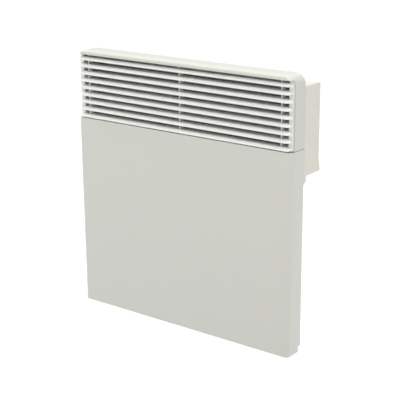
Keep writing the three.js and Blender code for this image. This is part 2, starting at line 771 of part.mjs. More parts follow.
// Moulded box, open towards the rear panel, with a sunk seat for the fascia in its top.
function controlBox() {
  const outer = alongX(boxSection(), BOX_LEFT, SIDE, 5);
  const hollow = block(
    BOX_LEFT + BOX_WALL,
    SIDE - BOX_WALL,
    0,
    BOX_BACK - BOX_WALL,
    BOX_BOTTOM + BOX_WALL * 1.5,
    BOX_TOP - FASCIA_THICKNESS - BOX_WALL,
  );
  const seat = block(
    fasciaX0() - FIT,
    fasciaX1() + FIT,
    fasciaY0() - FIT,
    fasciaY1() + FIT,
    fasciaZ() - FIT,
    BOX_TOP + 1,
  );
  const lipSpace = block(SIDE - HOOD_WALL - LIP - FIT, SIDE + 1, 0, BODY_DEPTH + FIT, 0, HEIGHT);
  const gland = rodZ(INLET_BORE, BOX_BOTTOM - 1, BOX_BOTTOM + BOX_WALL * 2);
  return cut(
    outer,
    hollow,
    seat,
    lipSpace,
    switchWindow(FIT, fasciaZ() - BOX_WALL * 2, BOX_TOP),
    rodZ(SPINDLE_RADIUS + RUN, fasciaZ() - BOX_WALL * 2, BOX_TOP).translate([knobX(), BOX_MIDDLE_Y, 0]),
    rodZ(LENS_RADIUS - 1, fasciaZ() - BOX_WALL * 2, BOX_TOP).translate([lensX(), lensY(), 0]),
    gland.translate([glandX(), glandY(), 0]),
  );
}

// Thin insert in the top of the box, pierced for the thermostat, the switch and the lamp.
function controlFascia() {
  const plate = alongZ(
    roundedRectangle(fasciaX0(), fasciaX1(), fasciaY0(), fasciaY1(), 1.5),
    fasciaZ(),
    BOX_TOP,
    3,
  );
  return cut(
    plate,
    rodZ(SPINDLE_RADIUS + RUN, fasciaZ() - 1, BOX_TOP + 1).translate([knobX(), BOX_MIDDLE_Y, 0]),
    rodZ(LENS_RADIUS + FIT, fasciaZ() - 1, BOX_TOP + 1).translate([lensX(), lensY(), 0]),
    switchWindow(FIT, fasciaZ() - 1, BOX_TOP + 1),
  );
}

// Fluted thermostat knob with a raised pointer and a blind bore for the spindle, about its own axis.
function thermostatKnob() {
  const rim = new THREE.Shape();
  const steps = KNOB_FLUTES * 4;
  rim.moveTo(KNOB_RADIUS, 0);
  for (let i = 1; i < steps; i += 1) {
    const angle = (i / steps) * Math.PI * 2;
    const radius = KNOB_RADIUS - (KNOB_FLUTE_DEPTH / 2) * (1 - Math.cos(angle * KNOB_FLUTES));
    rim.lineTo(radius * Math.cos(angle), radius * Math.sin(angle));
  }
  const crownRadius = KNOB_RADIUS - KNOB_FLUTE_DEPTH;
  const body = alongZ(rim, 0, KNOB_HEIGHT - KNOB_CHAMFER);
  const crown = turned([
    [0, KNOB_HEIGHT - KNOB_CHAMFER * 1.4],
    [crownRadius, KNOB_HEIGHT - KNOB_CHAMFER * 1.4],
    [crownRadius, KNOB_HEIGHT - KNOB_CHAMFER * 0.8],
    [crownRadius - KNOB_CHAMFER, KNOB_HEIGHT],
    [0, KNOB_HEIGHT],
  ]);
  const pointer = block(
    -POINTER_WIDTH / 2,
    POINTER_WIDTH / 2,
    SPINDLE_RADIUS,
    crownRadius - KNOB_FLUTE_DEPTH,
    KNOB_HEIGHT - 1,
    KNOB_HEIGHT + POINTER_RISE,
  );
  const bore = rodZ(SPINDLE_RADIUS + FIT, -1, SPINDLE_RISE - RUN + FIT, 20);
  return cut(join(body, crown, pointer), bore);
}

const thermostatSpindle = () =>
  rodZ(SPINDLE_RADIUS, -RUN - FASCIA_THICKNESS - BOX_WALL, SPINDLE_RISE - RUN, 20);

// Rocker cap in side view: a shallow V on top and a round keel below, about its own pivot.
function powerRocker() {
  const half = rockerLength() / 2;
  const shape = new THREE.Shape();
  shape.moveTo(-half, ROCKER_DEPTH * 0.2);
  shape.lineTo(-half * 0.75, -ROCKER_DEPTH * 0.3);
  shape.absarc(0, -ROCKER_DEPTH * 0.3, half * 0.35, Math.PI, Math.PI * 2);
  shape.lineTo(half * 0.75, -ROCKER_DEPTH * 0.3);
  shape.lineTo(half, ROCKER_DEPTH * 0.2);
  shape.lineTo(half, ROCKER_DEPTH * 0.75);
  shape.quadraticCurveTo(0, ROCKER_DEPTH * 0.3, -half, ROCKER_DEPTH * 0.75);
  return alongX(shape, -ROCKER_WIDTH / 2, ROCKER_WIDTH / 2, 5);
}

// Snap-in switch body, open on top round the rocker.
function switchBody() {
  const top = BOX_TOP + 0.6;
  const well = ROCKER_DEPTH + rockerLength() * 0.2;
  const pocket = block(
    rockerX() - ROCKER_WIDTH / 2 - RUN / 2,
    rockerX() + ROCKER_WIDTH / 2 + RUN / 2,
    BOX_MIDDLE_Y - rockerLength() / 2 - RUN,
    BOX_MIDDLE_Y + rockerLength() / 2 + RUN,
    top - well,
    top + 1,
  );
  return cut(switchWindow(0, top - SWITCH_DEPTH, top), pocket);
}

const indicatorLens = () =>
  turned([
    [0, fasciaZ()],
    [LENS_RADIUS, fasciaZ()],
    [LENS_RADIUS, BOX_TOP + 0.3],
    [LENS_RADIUS * 0.6, BOX_TOP + 1.1],
    [0, BOX_TOP + 1.3],
  ]).translate([lensX(), lensY(), 0]);

function thermostatBody() {
  const top = BOX_TOP - FASCIA_THICKNESS - BOX_WALL - FIT;
  const half = THERMOSTAT_SIZE / 2;
  const can = alongZ(roundedRectangle(-half, half, -half, half, 3), top - THERMOSTAT_DEPTH, top, 3);
  return can.translate([knobX(), BOX_MIDDLE_Y, 0]);
}

// Circuit board with its relay, transformer and smoothing capacitor, upright against the rear panel.
function controlBoard() {
  const x0 = BOX_LEFT + BOX_WALL + BOARD_SIDE;
  const y0 = boardFront();
  const z0 = boardFoot();
  const face = y0 + BOARD_THICKNESS;
  const root = face - BOARD_THICKNESS / 3;
  const component = ([width, height, depth], x, z) => block(x, x + width, root, face + depth, z, z + height);
  const connector = block(
    wireHoleX() - CONNECTOR_WIDTH / 2,
    wireHoleX() + CONNECTOR_WIDTH / 2,
    root,
    face + CONNECTOR_DEPTH,
    z0 - CONNECTOR_DROP,
    z0 + CONNECTOR_GRIP,
  );
  const row = z0 + CONNECTOR_GRIP * 1.5;
  const capacitor = rodY(CAPACITOR_RADIUS, root, face + CAPACITOR_LENGTH, 16);
  return join(
    block(x0, x0 + BOARD_WIDTH, y0, face, z0, z0 + BOARD_HEIGHT),
    component(RELAY_SIZE, x0 + BOARD_WIDTH * 0.1, row),
    component(TRANSFORMER_SIZE, x0 + BOARD_WIDTH * 0.56, row),
    capacitor.translate([x0 + BOARD_WIDTH * 0.46, 0, row + CAPACITOR_RADIUS * 2]),
    connector,
  );
}

// Three-pole block on the floor of the box, a clamp with its screw hole on each pole.
function terminalBlock() {
  const pole = TERMINAL_BLOCK_LENGTH / TERMINAL_BLOCK_POLES;
  const x0 = glandX() + TERMINAL_BLOCK_SIDE - TERMINAL_BLOCK_LENGTH / 2;
  const y0 = BOX_BACK - BOX_WALL - TERMINAL_BLOCK_GAP - TERMINAL_BLOCK_DEPTH;
  const y1 = y0 + TERMINAL_BLOCK_DEPTH;
  const z0 = BOX_BOTTOM + BOX_WALL * 1.5 + FIT;
  const shoulder = z0 + TERMINAL_BLOCK_BASE;
  const top = z0 + TERMINAL_BLOCK_HEIGHT;
  const inset = TERMINAL_BLOCK_DEPTH / 7;
  let body = block(x0, x0 + TERMINAL_BLOCK_LENGTH, y0, y1, z0, shoulder);
  for (let i = 0; i < TERMINAL_BLOCK_POLES; i += 1) {
    const x = x0 + pole * (i + 0.5);
    const screwHole = rodZ(TERMINAL_SCREW_RADIUS, shoulder + 1, top + 1, 12);
    body = body
      .add(block(x - pole * 0.35, x + pole * 0.35, y0 + inset, y1 - inset, shoulder - 1, top))
      .subtract(screwHole.translate([x, (y0 + y1) / 2, 0]));
  }
  return body;
}

// Grooved ring round Z for a hole through a wall that lies between z = 0 and the wall's thickness.
function grommet(holeRadius, boreRadius, flangeRadius, wall, flange) {
  const neck = holeRadius - FIT;
  return turned([
    [boreRadius, -flange],
    [flangeRadius - FIT, -flange],
    [flangeRadius, -FIT],
    [neck, -FIT],
    [neck, wall + FIT],
    [flangeRadius, wall + FIT],
    [flangeRadius - FIT, wall + flange],
    [boreRadius, wall + flange],
    [boreRadius, -flange],
  ]);
}

// Ring in the floor of the box, where the supply enters.
const supplyGrommet = () =>
  grommet(INLET_BORE, INLET_BORE - 3, INLET_BORE + 2, BOX_WALL * 1.5, 2).translate([
    glandX(),
    glandY(),
    BOX_BOTTOM,
  ]);

// Ring in the rear panel, where the element's two wires pass through.
const wireGrommet = () =>
  grommet(WIRE_HOLE_RADIUS, WIRE_HOLE_RADIUS - FIT - 1, WIRE_HOLE_RADIUS + 1.5, SHEET, 1.5)
    .rotate([90, 0, 0])
    .translate([wireHoleX(), REAR_BACK, wireHoleZ()]);

// The two wires from the board to the ends of the element: through the grommet, then down the sides of
// the casing in front of the rear panel.
function elementWire(points) {
  const path = new THREE.CatmullRomCurve3(points.map(([x, y, z]) => new THREE.Vector3(x, y, z)));
  path.curveType = 'centripetal';
  const turn = (Math.PI * 2) / WIRE_SIDES;
  const section = polygon(
    Array.from({ length: WIRE_SIDES }, (_, i) => [
      WIRE_RADIUS * Math.cos(i * turn),
      WIRE_RADIUS * Math.sin(i * turn),
    ]),
  );
  const steps = Math.round(path.getLength() / WIRE_STEP);
  return solid(new THREE.ExtrudeGeometry(section, { extrudePath: path, steps }));
}

function elementWires() {
  const pin = ROD_LENGTH / 2 + FIT + TERMINAL_LENGTH * 1.5 + FIT;
  const lane = REAR_FRONT - WIRE_RADIUS * 4;
  const x = wireHoleX();
  const z = wireHoleZ();
  const spread = WIRE_RADIUS * 1.2;
  const run = (offset, side, turn) => [
    [x + offset, boardFront() + 7, boardFoot() - CONNECTOR_DROP - FIT],
    [x + offset, boardFront() + 5, z + 5],
    [x + offset, REAR_BACK + 3, z],
    [x + offset, REAR_FRONT - WIRE_RADIUS * 2, z - 0.5],
    ...turn,
    [side * (pin + 8), lane, ELEMENT_HEIGHT + 80],
    [side * (pin + 8), lane - 2, ELEMENT_HEIGHT + 16],
    [side * (pin + 5), elementY() + 1, ELEMENT_HEIGHT + 3],
    [side * (pin + 2), elementY(), ELEMENT_HEIGHT],
    [side * pin, elementY(), ELEMENT_HEIGHT],
  ];
  const wayDown = z - 36;
  return {
    right: elementWire(
      run(spread, 1, [
        [x + spread + 2, lane - 1, z - 8],
        [pin - 8, lane, wayDown],
      ]),
    ),
    left: elementWire(
      run(-spread, -1, [
        [x - spread - 5, lane - 1, z - 8],
        [x - 30, lane, wayDown],
        [-pin + 30, lane, wayDown],
        [-pin - 4, lane, wayDown - 24],
      ]),
    ),
  };
}

// ---------------------------------------------------------------- wall bracket
const hookX = () => LEG_X - BRACKET_SHEET - HOOK_WIDTH / 2;
const lockX = () => LEG_X - BRACKET_SHEET - RUN * 2 - LOCK_TAB_LENGTH / 2;

// One leg in the bracket's own frame, y back from the casing's rear panel towards the wall: a web with
// two deep arms, a flange on the wall, a face flange and an upturned hook on each arm.
function bracketLeg() {
  const low = HOOK_LOW - ORIGIN_HEIGHT;
  const high = HOOK_HIGH - ORIGIN_HEIGHT;
  const front = -FLANGE_BACK;
  const armLow = low - ARM_HEIGHT / 2;
  const armHigh = high - LOCK_DROP - ARM_HEIGHT / 2;
  const top = high + ARM_HEIGHT / 2;
  const slope = FLANGE_BACK - SPINE_DEPTH;
  const web = new THREE.Shape();
  web.moveTo(0, armLow - slope / 2);
  web.lineTo(0, top + slope / 4);
  web.lineTo(front + slope / 3, top + slope / 4);
  web.lineTo(front, top);
  web.lineTo(front, armHigh);
  web.lineTo(-SPINE_DEPTH, armHigh - slope);
  web.lineTo(-SPINE_DEPTH, armLow + ARM_HEIGHT + slope);
  web.lineTo(front, armLow + ARM_HEIGHT);
  web.lineTo(front, armLow);
  web.lineTo(-SPINE_DEPTH, armLow - slope / 2);
  const inner = LEG_X - BRACKET_SHEET;
  const faceInner = inner - FACE_FLANGE;
  let leg = join(
    alongX(web, inner, LEG_X),
    block(LEG_X - LEG_FLANGE, LEG_X, -BRACKET_SHEET, 0, armLow - slope / 2, top + slope / 4),
    block(faceInner, LEG_X, front, front + BRACKET_SHEET, armLow, armLow + ARM_HEIGHT),
    block(faceInner, LEG_X, front, front + BRACKET_SHEET, armHigh, top),
  );
  for (const height of [low, high]) {
    const tongue = front - FIT - SHEET - RUN - BRACKET_SHEET;
    const x0 = hookX() - HOOK_WIDTH / 2;
    leg = join(
      leg,
      block(x0, x0 + HOOK_WIDTH, tongue, front + BRACKET_SHEET, height - BRACKET_SHEET, height),
      block(x0, x0 + HOOK_WIDTH, tongue, tongue + BRACKET_SHEET, height - BRACKET_SHEET, height + HOOK_RISE),
    );
  }
  const stemHole = rodY(LOCK_STEM + FIT, front - 1, front + BRACKET_SHEET + 1);
  leg = leg.subtract(stemHole.translate([lockX(), 0, LOCK_HEIGHT - ORIGIN_HEIGHT]));
  for (const height of [low, high]) {
    leg = leg.subtract(
      alongY(
        roundedRectangle(
          LEG_X - LEG_FLANGE * 0.55 - WALL_SLOT_WIDTH / 2,
          LEG_X - LEG_FLANGE * 0.55 + WALL_SLOT_WIDTH / 2,
          height - WALL_SLOT_LENGTH / 2,
          height + WALL_SLOT_LENGTH / 2,
          WALL_SLOT_WIDTH / 2 - 0.01,
        ),
        -BRACKET_SHEET - 1,
        1,
        3,
      ),
    );
  }
  return leg;
}

function wallBracket() {
  const leg = bracketLeg();
  const bar = block(-LEG_X, LEG_X, -BRACKET_SHEET, 0, -CROSS_BAR / 2, CROSS_BAR / 2);
  const stiffener = (z) => block(-LEG_X, LEG_X, -SPINE_DEPTH / 2, 0, z, z + BRACKET_SHEET);
  return join(
    leg,
    mirrored(leg),
    bar,
    stiffener(-CROSS_BAR / 2),
    stiffener(CROSS_BAR / 2 - BRACKET_SHEET),
  );
}

// Quarter-turn lock about its own stem: a bar inside the casing that holds the rear panel back, a stem
// through the bracket, and a thumb tab behind it. y = 0 is the face of the bracket's flange.
function quarterTurnLock() {
  const barBack = -FIT - SHEET - RUN;
  const bar = alongY(
    roundedRectangle(
      -LOCK_BAR_LENGTH / 2,
      LOCK_BAR_LENGTH / 2,
      -LOCK_BAR_WIDTH / 2,
      LOCK_BAR_WIDTH / 2,
      LOCK_BAR_WIDTH / 2 - 0.2,
    ),
    barBack - LOCK_BAR_THICKNESS,
    barBack,
    4,
  );
  const tabFront = BRACKET_SHEET + RUN / 2;
  const tabBack = tabFront + LOCK_TAB_THICKNESS;
  const tab = alongY(
    roundedRectangle(-LOCK_BAR_WIDTH / 2, LOCK_BAR_WIDTH / 2, -LOCK_TAB_LENGTH / 2, LOCK_TAB_LENGTH / 2, 2),
    tabFront,
    tabBack,
    4,
  );
  const grip = block(
    -LOCK_GRIP_WIDTH / 2,
    LOCK_GRIP_WIDTH / 2,
    tabBack - 1,
    tabBack + LOCK_GRIP_HEIGHT,
    LOCK_GRIP_WIDTH - LOCK_TAB_LENGTH / 2,
    LOCK_TAB_LENGTH / 2 - LOCK_GRIP_WIDTH,
  );
  return join(bar, rodY(LOCK_STEM, barBack - 1, tabFront + 1, 20), tab, grip);
}

// ---------------------------------------------------------------- assembly
const heater = new THREE.Group();

const casing = new THREE.Group();
casing.position.set(0, -WALL_DISTANCE, -ORIGIN_HEIGHT);
heater.add(casing);

const put = (parent, name, manifold, material, x = 0, y = 0, z = 0) => {
  const mesh = toMesh(name, manifold, material);
  mesh.position.set(x, y, z);
  parent.add(mesh);
  return mesh;
};

put(heater, 'wall_bracket', wallBracket(), bracketPaint);
for (const [name, side] of [['lock_left', -1], ['lock_right', 1]]) {
  const lockZ = LOCK_HEIGHT - ORIGIN_HEIGHT;
  put(heater, name, quarterTurnLock(), greyPlastic, side * lockX(), -FLANGE_BACK, lockZ);
}

put(casing, 'front_panel', frontPanel(), whiteEnamel);
put(casing, 'top_hood', topHood(), whiteEnamel);
put(casing, 'outlet_grille', outletGrille(), whitePlastic);
put(casing, 'rear_panel', rearPanel(), galvanised);
put(casing, 'inlet_grille', inletGrille(), galvanised);
put(casing, 'air_guide', airGuide(), guidePaint);

put(casing, 'heating_element', heatingElement(), aluminium, 0, elementY(), ELEMENT_HEIGHT);
put(casing, 'element_rod', elementRod(), steel, 0, elementY(), ELEMENT_HEIGHT);
for (const [end, side] of [['left', -1], ['right', 1]]) {
  const seat = (side * BEARER_SPACING) / 2;
  const facing = (manifold) => (side > 0 ? manifold : mirrored(manifold));
  put(casing, `element_terminal_${end}`, facing(elementTerminal()), ceramic, 0, elementY(), ELEMENT_HEIGHT);
  put(casing, `element_bush_${end}`, rodBush(), silicone, seat, elementY(), ELEMENT_HEIGHT);
  const bearer = facing(elementBearer());
  put(casing, `element_bearer_${end}`, bearer, galvanised, seat, elementY(), ELEMENT_HEIGHT);
}
const wires = elementWires();
put(casing, 'element_wire_left', wires.left, wireBlue);
put(casing, 'element_wire_right', wires.right, wireBrown);
put(casing, 'cutout_bracket', cutoutBracket(), galvanised);
put(casing, 'thermal_cutout', thermalCutout(), blackPlastic);
put(casing, 'room_sensor', roomSensor(), steel);
put(casing, 'sensor_clip', sensorClip(), whitePlastic);

put(casing, 'control_box', controlBox(), whiteEnamel);
put(casing, 'control_fascia', controlFascia(), whitePlastic);
put(casing, 'indicator_lens', indicatorLens(), redLens);
put(casing, 'thermostat_body', thermostatBody(), blackPlastic);
put(casing, 'switch_body', switchBody(), blackPlastic);
put(casing, 'control_board', controlBoard(), boardGreen);
put(casing, 'terminal_block', terminalBlock(), whitePlastic);
put(casing, 'supply_grommet', supplyGrommet(), blackPlastic);
put(casing, 'wire_grommet', wireGrommet(), blackPlastic);
put(casing, 'thermostat_knob', thermostatKnob(), whitePlastic, knobX(), BOX_MIDDLE_Y, BOX_TOP + RUN);
put(casing, 'thermostat_spindle', thermostatSpindle(), steel, knobX(), BOX_MIDDLE_Y, BOX_TOP + RUN);
const rockerZ = BOX_TOP - ROCKER_SINK;
const rocker = put(casing, 'power_rocker', powerRocker(), blackPlastic, rockerX(), BOX_MIDDLE_Y, rockerZ);
rocker.rotation.x = THREE.MathUtils.degToRad(-ROCKER_TILT);

export default heater;
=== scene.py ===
# %% [markdown]
# # A wall panel convector heater
# A slim heater of folded steel that hangs on a wall. This notebook dresses its parts as they leave
# the factory: powder-coated sheet, moulded louvres, galvanised steel behind, and a moulded control
# box at the back of the right-hand end. The main parts are loaded as a fixed frame, in metres, with
# X to the right, Y into the wall and Z up, and everything made here is placed by that frame.

import json
import math

import bmesh
import bpy
from mathutils import Matrix, Vector


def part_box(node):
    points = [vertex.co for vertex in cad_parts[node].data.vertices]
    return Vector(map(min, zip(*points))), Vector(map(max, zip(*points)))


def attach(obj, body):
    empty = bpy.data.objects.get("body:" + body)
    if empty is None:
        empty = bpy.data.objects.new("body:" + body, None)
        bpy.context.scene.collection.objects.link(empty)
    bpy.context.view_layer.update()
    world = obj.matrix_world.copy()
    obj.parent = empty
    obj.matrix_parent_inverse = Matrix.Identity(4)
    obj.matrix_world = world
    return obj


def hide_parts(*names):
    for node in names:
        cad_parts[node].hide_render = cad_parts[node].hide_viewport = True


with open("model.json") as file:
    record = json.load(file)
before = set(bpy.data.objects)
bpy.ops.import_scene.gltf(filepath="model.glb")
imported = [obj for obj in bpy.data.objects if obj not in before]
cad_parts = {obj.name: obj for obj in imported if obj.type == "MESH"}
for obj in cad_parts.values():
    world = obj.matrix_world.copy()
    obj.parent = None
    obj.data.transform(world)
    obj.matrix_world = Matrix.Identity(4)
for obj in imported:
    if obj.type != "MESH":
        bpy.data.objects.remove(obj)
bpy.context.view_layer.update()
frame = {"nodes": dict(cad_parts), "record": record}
MM = 0.001

# %% [markdown]
# ## Camera
# The photograph looks down on the heater from its right, from almost two metres away, with a long
# lens. The place, direction and small roll come from a fit to the casing's straight edges, so the
# camera is set from its position and its own directions, and nothing is aimed by hand.

# %% The camera
CAMERA_PLACE = Vector((1.0258, -1.387557, 0.566378))
SIGHT = Vector((-0.574448, 0.762517, -0.297618))
LEVEL = Vector((0.799996, 0.599965, -0.006963))
FOCAL_PIXELS = 1089.683
PICTURE_PIXELS = 400
SENSOR_MM = 36.0
NEAR_CLIP = 0.05


def add_camera(name):
    back = -SIGHT.normalized()
    across = (LEVEL - back * LEVEL.dot(back)).normalized()
    upward = back.cross(across)
    lens = bpy.data.cameras.new(name)
    lens.sensor_width = SENSOR_MM
    lens.lens = FOCAL_PIXELS * SENSOR_MM / PICTURE_PIXELS
    lens.clip_start = NEAR_CLIP
    camera = bpy.data.objects.new(name, lens)
    bpy.context.scene.collection.objects.link(camera)
    turn = Matrix((across, upward, back)).transposed().to_4x4()
    camera.matrix_world = Matrix.Translation(CAMERA_PLACE) @ turn
    return camera


camera = add_camera("camera")
bpy.context.scene.camera = camera
print("camera:", round(camera.data.lens, 2), "mm lens,", round(CAMERA_PLACE.length, 3), "m away")

# %% [markdown]
# ## Writing materials as sums
# A finish is easier to read as a sum than as a drawing of boxes and threads. `Signal` wraps one
# output socket, so that `grain * 0.2 + 0.4` adds the Math nodes by itself. `Finish` holds one
# material and adds any other node with a single call.


# %% Signals and finishes
finishes = {}


class Signal:
    """One output socket of a node tree, used in sums as if it were a number."""

    def __init__(self, bench, socket):
        self.bench = bench
        self.socket = socket

    def sum_with(self, operation, first, second=None):
        sockets = {0: first} if second is None else {0: first, 1: second}
        return self.bench.add("ShaderNodeMath", {"operation": operation}, sockets)

    def __add__(self, other):
        return self.sum_with("ADD", self, other)

    def __sub__(self, other):
        return self.sum_with("SUBTRACT", self, other)

    def __rsub__(self, other):
        return self.sum_with("SUBTRACT", other, self)

    def __mul__(self, other):
        return self.sum_with("MULTIPLY", self, other)

    def __pow__(self, other):
        return self.sum_with("POWER", self, other)

    def over(self, edge):
        return self.sum_with("GREATER_THAN", self, edge)


class Bench:
    """A node tree. add() puts in a node and gives back one of its outputs as a Signal."""

    def __init__(self, tree):
        self.tree = tree
        self.tree.nodes.clear()

    def add(self, kind, settings=None, sockets=None, out=0):
        node = self.tree.nodes.new(kind)
        for key, value in (settings or {}).items():
            if key == "stops":
                ramp = node.color_ramp.elements
                while len(ramp) < len(value):
                    ramp.new(0.5)
                for stop, (position, shade) in zip(ramp, value):
                    stop.position = position
                    stop.color = shade if len(shade) == 4 else (*shade, 1.0)
            else:
                setattr(node, key, value)
        for key, value in (sockets or {}).items():
            if isinstance(value, Signal):
                self.tree.links.new(value.socket, node.inputs[key])
            elif node.inputs[key].type == "RGBA" and len(value) == 3:
                node.inputs[key].default_value = (*value, 1.0)
            else:
                node.inputs[key].default_value = value
        return Signal(self, node.outputs[out])


class Finish(Bench):
    """A procedural material, known by its name."""

    def __init__(self, name):
        self.material = finishes[name] = bpy.data.materials.new(name)
        self.material.use_nodes = True
        super().__init__(self.material.node_tree)
        self.place = self.add("ShaderNodeTexCoord", out="Object")

    def noise(self, scale, detail=2.0, roughness=0.5, place=None):
        sockets = {"Vector": place or self.place, "Scale": scale}
        sockets.update({"Detail": detail, "Roughness": roughness})
        return self.add("ShaderNodeTexNoise", {}, sockets)

    def stretched(self, x, y, z):
        """The object's own coordinates, multiplied axis by axis, to draw a pattern out."""
        settings = {"operation": "MULTIPLY"}
        return self.add("ShaderNodeVectorMath", settings, {0: self.place, 1: (x, y, z)})

    def blend(self, factor, first, second):
        sockets = {0: factor, 6: first, 7: second}
        return self.add("ShaderNodeMix", {"data_type": "RGBA"}, sockets, out=2)

    def bump(self, height, depth, strength=1.0):
        sockets = {"Height": height, "Distance": depth, "Strength": strength}
        return self.add("ShaderNodeBump", {}, sockets)

    def surface(self, **values):
        sockets = {key.replace("_", " "): value for key, value in values.items()}
        shader = self.add("ShaderNodeBsdfPrincipled", {}, sockets)
        self.add_output(shader)
        return self.material

    def add_output(self, shader):
        output = self.tree.nodes.new("ShaderNodeOutputMaterial")
        self.tree.links.new(shader.socket, output.inputs["Surface"])


print("a finish takes any node type, its settings and its sockets")

# %% [markdown]
# ## Powder coat
# The casing is steel sheet, sprayed with dry powder and baked. The powder flows out to a semi-matt
# skin with a very fine orange peel, a millimetre or so from hill to hill. The white is a warm
# grey-white, and not quite even, so a slow noise and a fine one shift it by up to three parts in a
# hundred.

# %% White powder coat
ENAMEL_WHITE = (0.578, 0.580, 0.533)
ENAMEL_SHADE = (0.561, 0.563, 0.517)
MOTTLE_SCALE = 240.0
PEEL_SCALE = 950.0


def powder_coat(name, light, shade, peel=0.00002, roughness=0.42):
    finish = Finish(name)
    slow = finish.noise(9.0, 3.0)
    mottle = finish.noise(MOTTLE_SCALE, 2.0)
    orange_peel = finish.noise(PEEL_SCALE, 1.5, 0.4)
    colour = finish.blend(slow * 0.7 + mottle * 0.3, shade, light)
    return finish.surface(
        Base_Color=colour,
        Roughness=slow * 0.08 + mottle * 0.05 + (roughness - 0.065),
        Normal=finish.bump(orange_peel, peel, 0.5),
    )


powder_coat("enamel_white", ENAMEL_WHITE, ENAMEL_SHADE)
powder_coat("bracket_paint", (0.70, 0.70, 0.67), (0.66, 0.66, 0.63), 0.00003, 0.5)
# The air guide is a real sheet inside the casing, but its near-black colour is painted shade: it
# stands in for the shadow deep behind the louvre blades.
powder_coat("guide_paint", (0.15, 0.16, 0.15), (0.13, 0.14, 0.13), 0.00004, 0.7)
print("powder coats:", *finishes)

# %% [markdown]
# ## Moulded plastics
# Louvres, control box, knob, switch and small fittings are injection moulded. The tool for the
# white pieces is spark-eroded, which leaves a fine even grain and a satin sheen. Dark pieces show
# the same grain as a change of gloss more than of colour.


# %% Moulded plastics
SPARK_SCALE = 2600.0
FLOW_SCALE = 60.0
FLOW_PULL = (1.0, 1.0, 0.25)


def moulding(name, light, shade, grain=0.000012, roughness=0.45, coat=0.0):
    finish = Finish(name)
    slow = finish.noise(14.0, 2.0)
    spark_grain = finish.noise(SPARK_SCALE, 1.0, 0.5)
    flow = finish.noise(FLOW_SCALE, 3.0, 0.6, finish.stretched(*FLOW_PULL))
    colour = finish.blend(slow * 0.6 + flow * 0.4, shade, light)
    return finish.surface(
        Base_Color=colour,
        Roughness=flow * 0.10 + spark_grain * 0.06 + (roughness - 0.08),
        Coat_Weight=coat,
        Normal=finish.bump(spark_grain, grain, 0.6),
    )


moulding("plastic_white", (0.79, 0.79, 0.76), (0.765, 0.765, 0.735))
moulding("box_white", (0.64, 0.635, 0.575), (0.62, 0.615, 0.557), roughness=0.48)
moulding("plastic_black", (0.026, 0.027, 0.029), (0.018, 0.019, 0.020), roughness=0.38)
moulding("plastic_grey", (0.30, 0.31, 0.31), (0.25, 0.26, 0.26), roughness=0.5)
moulding("silicone", (0.36, 0.085, 0.05), (0.30, 0.07, 0.045), roughness=0.7)
moulding("wire_brown", (0.11, 0.05, 0.025), (0.09, 0.04, 0.02), roughness=0.55)
moulding("wire_blue", (0.03, 0.085, 0.26), (0.025, 0.07, 0.22), roughness=0.55)
moulding("lens_red", (0.55, 0.045, 0.025), (0.42, 0.03, 0.02), roughness=0.12, coat=0.6)
print("finishes so far:", len(finishes))

# %% [markdown]
# ## Bare metals
# Galvanised sheet, such as the rear panel, has zinc on it that freezes into flat crystals, a
# spangle, each of its own brightness. The element is aluminium with drawing lines along it, and the
# sheathed rod is drawn stainless tube. Voronoi cells give the crystals; a noise pulled out along
# one axis gives the lines.


# %% Galvanised sheet, aluminium and steel
SPANGLE_SCALE = 150.0
FEATHER_SCALE = 420.0


def galvanised(name, light, dark):
    finish = Finish(name)
    cells = {"Vector": finish.place, "Scale": SPANGLE_SCALE}
    crystals = finish.add("ShaderNodeTexVoronoi", {}, cells, out="Color")
    level = finish.add("ShaderNodeSeparateColor", {}, {"Color": crystals}, out="Red")
    feathers = finish.noise(FEATHER_SCALE, 4.0, 0.65)
    stain = finish.noise(7.0, 4.0, 0.6)
    shade = level * 0.55 + feathers * 0.25 + stain * 0.2
    return finish.surface(
        Base_Color=finish.blend(shade, dark, light),
        Metallic=0.85,
        Roughness=0.56 - level * 0.16 + feathers * 0.08,
        Normal=finish.bump(level * 0.4 + feathers * 0.6, 0.00003, 0.4),
    )


def drawn_metal(name, light, dark, roughness, pull):
    finish = Finish(name)
    lines = finish.noise(1.0, 3.0, 0.6, finish.stretched(*pull))
    tarnish = finish.noise(26.0, 4.0, 0.6)
    return finish.surface(
        Base_Color=finish.blend(lines * 0.5 + tarnish * 0.5, dark, light),
        Metallic=0.92,
        Roughness=lines * 0.14 + tarnish * 0.1 + (roughness - 0.1),
        Normal=finish.bump(lines, 0.00002, 0.5),
    )


galvanised("zinc_steel", (0.62, 0.64, 0.64), (0.40, 0.42, 0.43))
drawn_metal("aluminium", (0.74, 0.75, 0.76), (0.60, 0.61, 0.62), 0.4, (30, 900, 900))
drawn_metal("steel", (0.52, 0.51, 0.50), (0.38, 0.38, 0.38), 0.34, (20, 1400, 1400))
drawn_metal("screw_zinc", (0.66, 0.67, 0.68), (0.52, 0.53, 0.55), 0.32, (900, 60, 900))
print("metals:", *list(finishes)[-3:])

# %% [markdown]
# ## Ceramic and circuit board
# Steatite collars are pressed, fired and left unglazed, so they are chalky with faint specks. The
# board is glass laminate under a green lacquer, through which copper tracks show as slightly
# lighter bands.


# %% Ceramic and board
SPECK_EDGE = 0.66
TRACK_SCALE = 520.0
TRACK_EDGE = 0.72


def unglazed_ceramic(name):
    finish = Finish(name)
    specks = finish.noise(1500.0, 2.0).over(SPECK_EDGE)
    body = finish.noise(90.0, 3.0)
    chalk = finish.blend(body, (0.70, 0.65, 0.54), (0.78, 0.74, 0.64))
    return finish.surface(
        Base_Color=finish.blend(specks * 0.35, chalk, (0.4, 0.36, 0.3)),
        Roughness=body * 0.15 + 0.6,
        Normal=finish.bump(body, 0.00003, 0.5),
    )


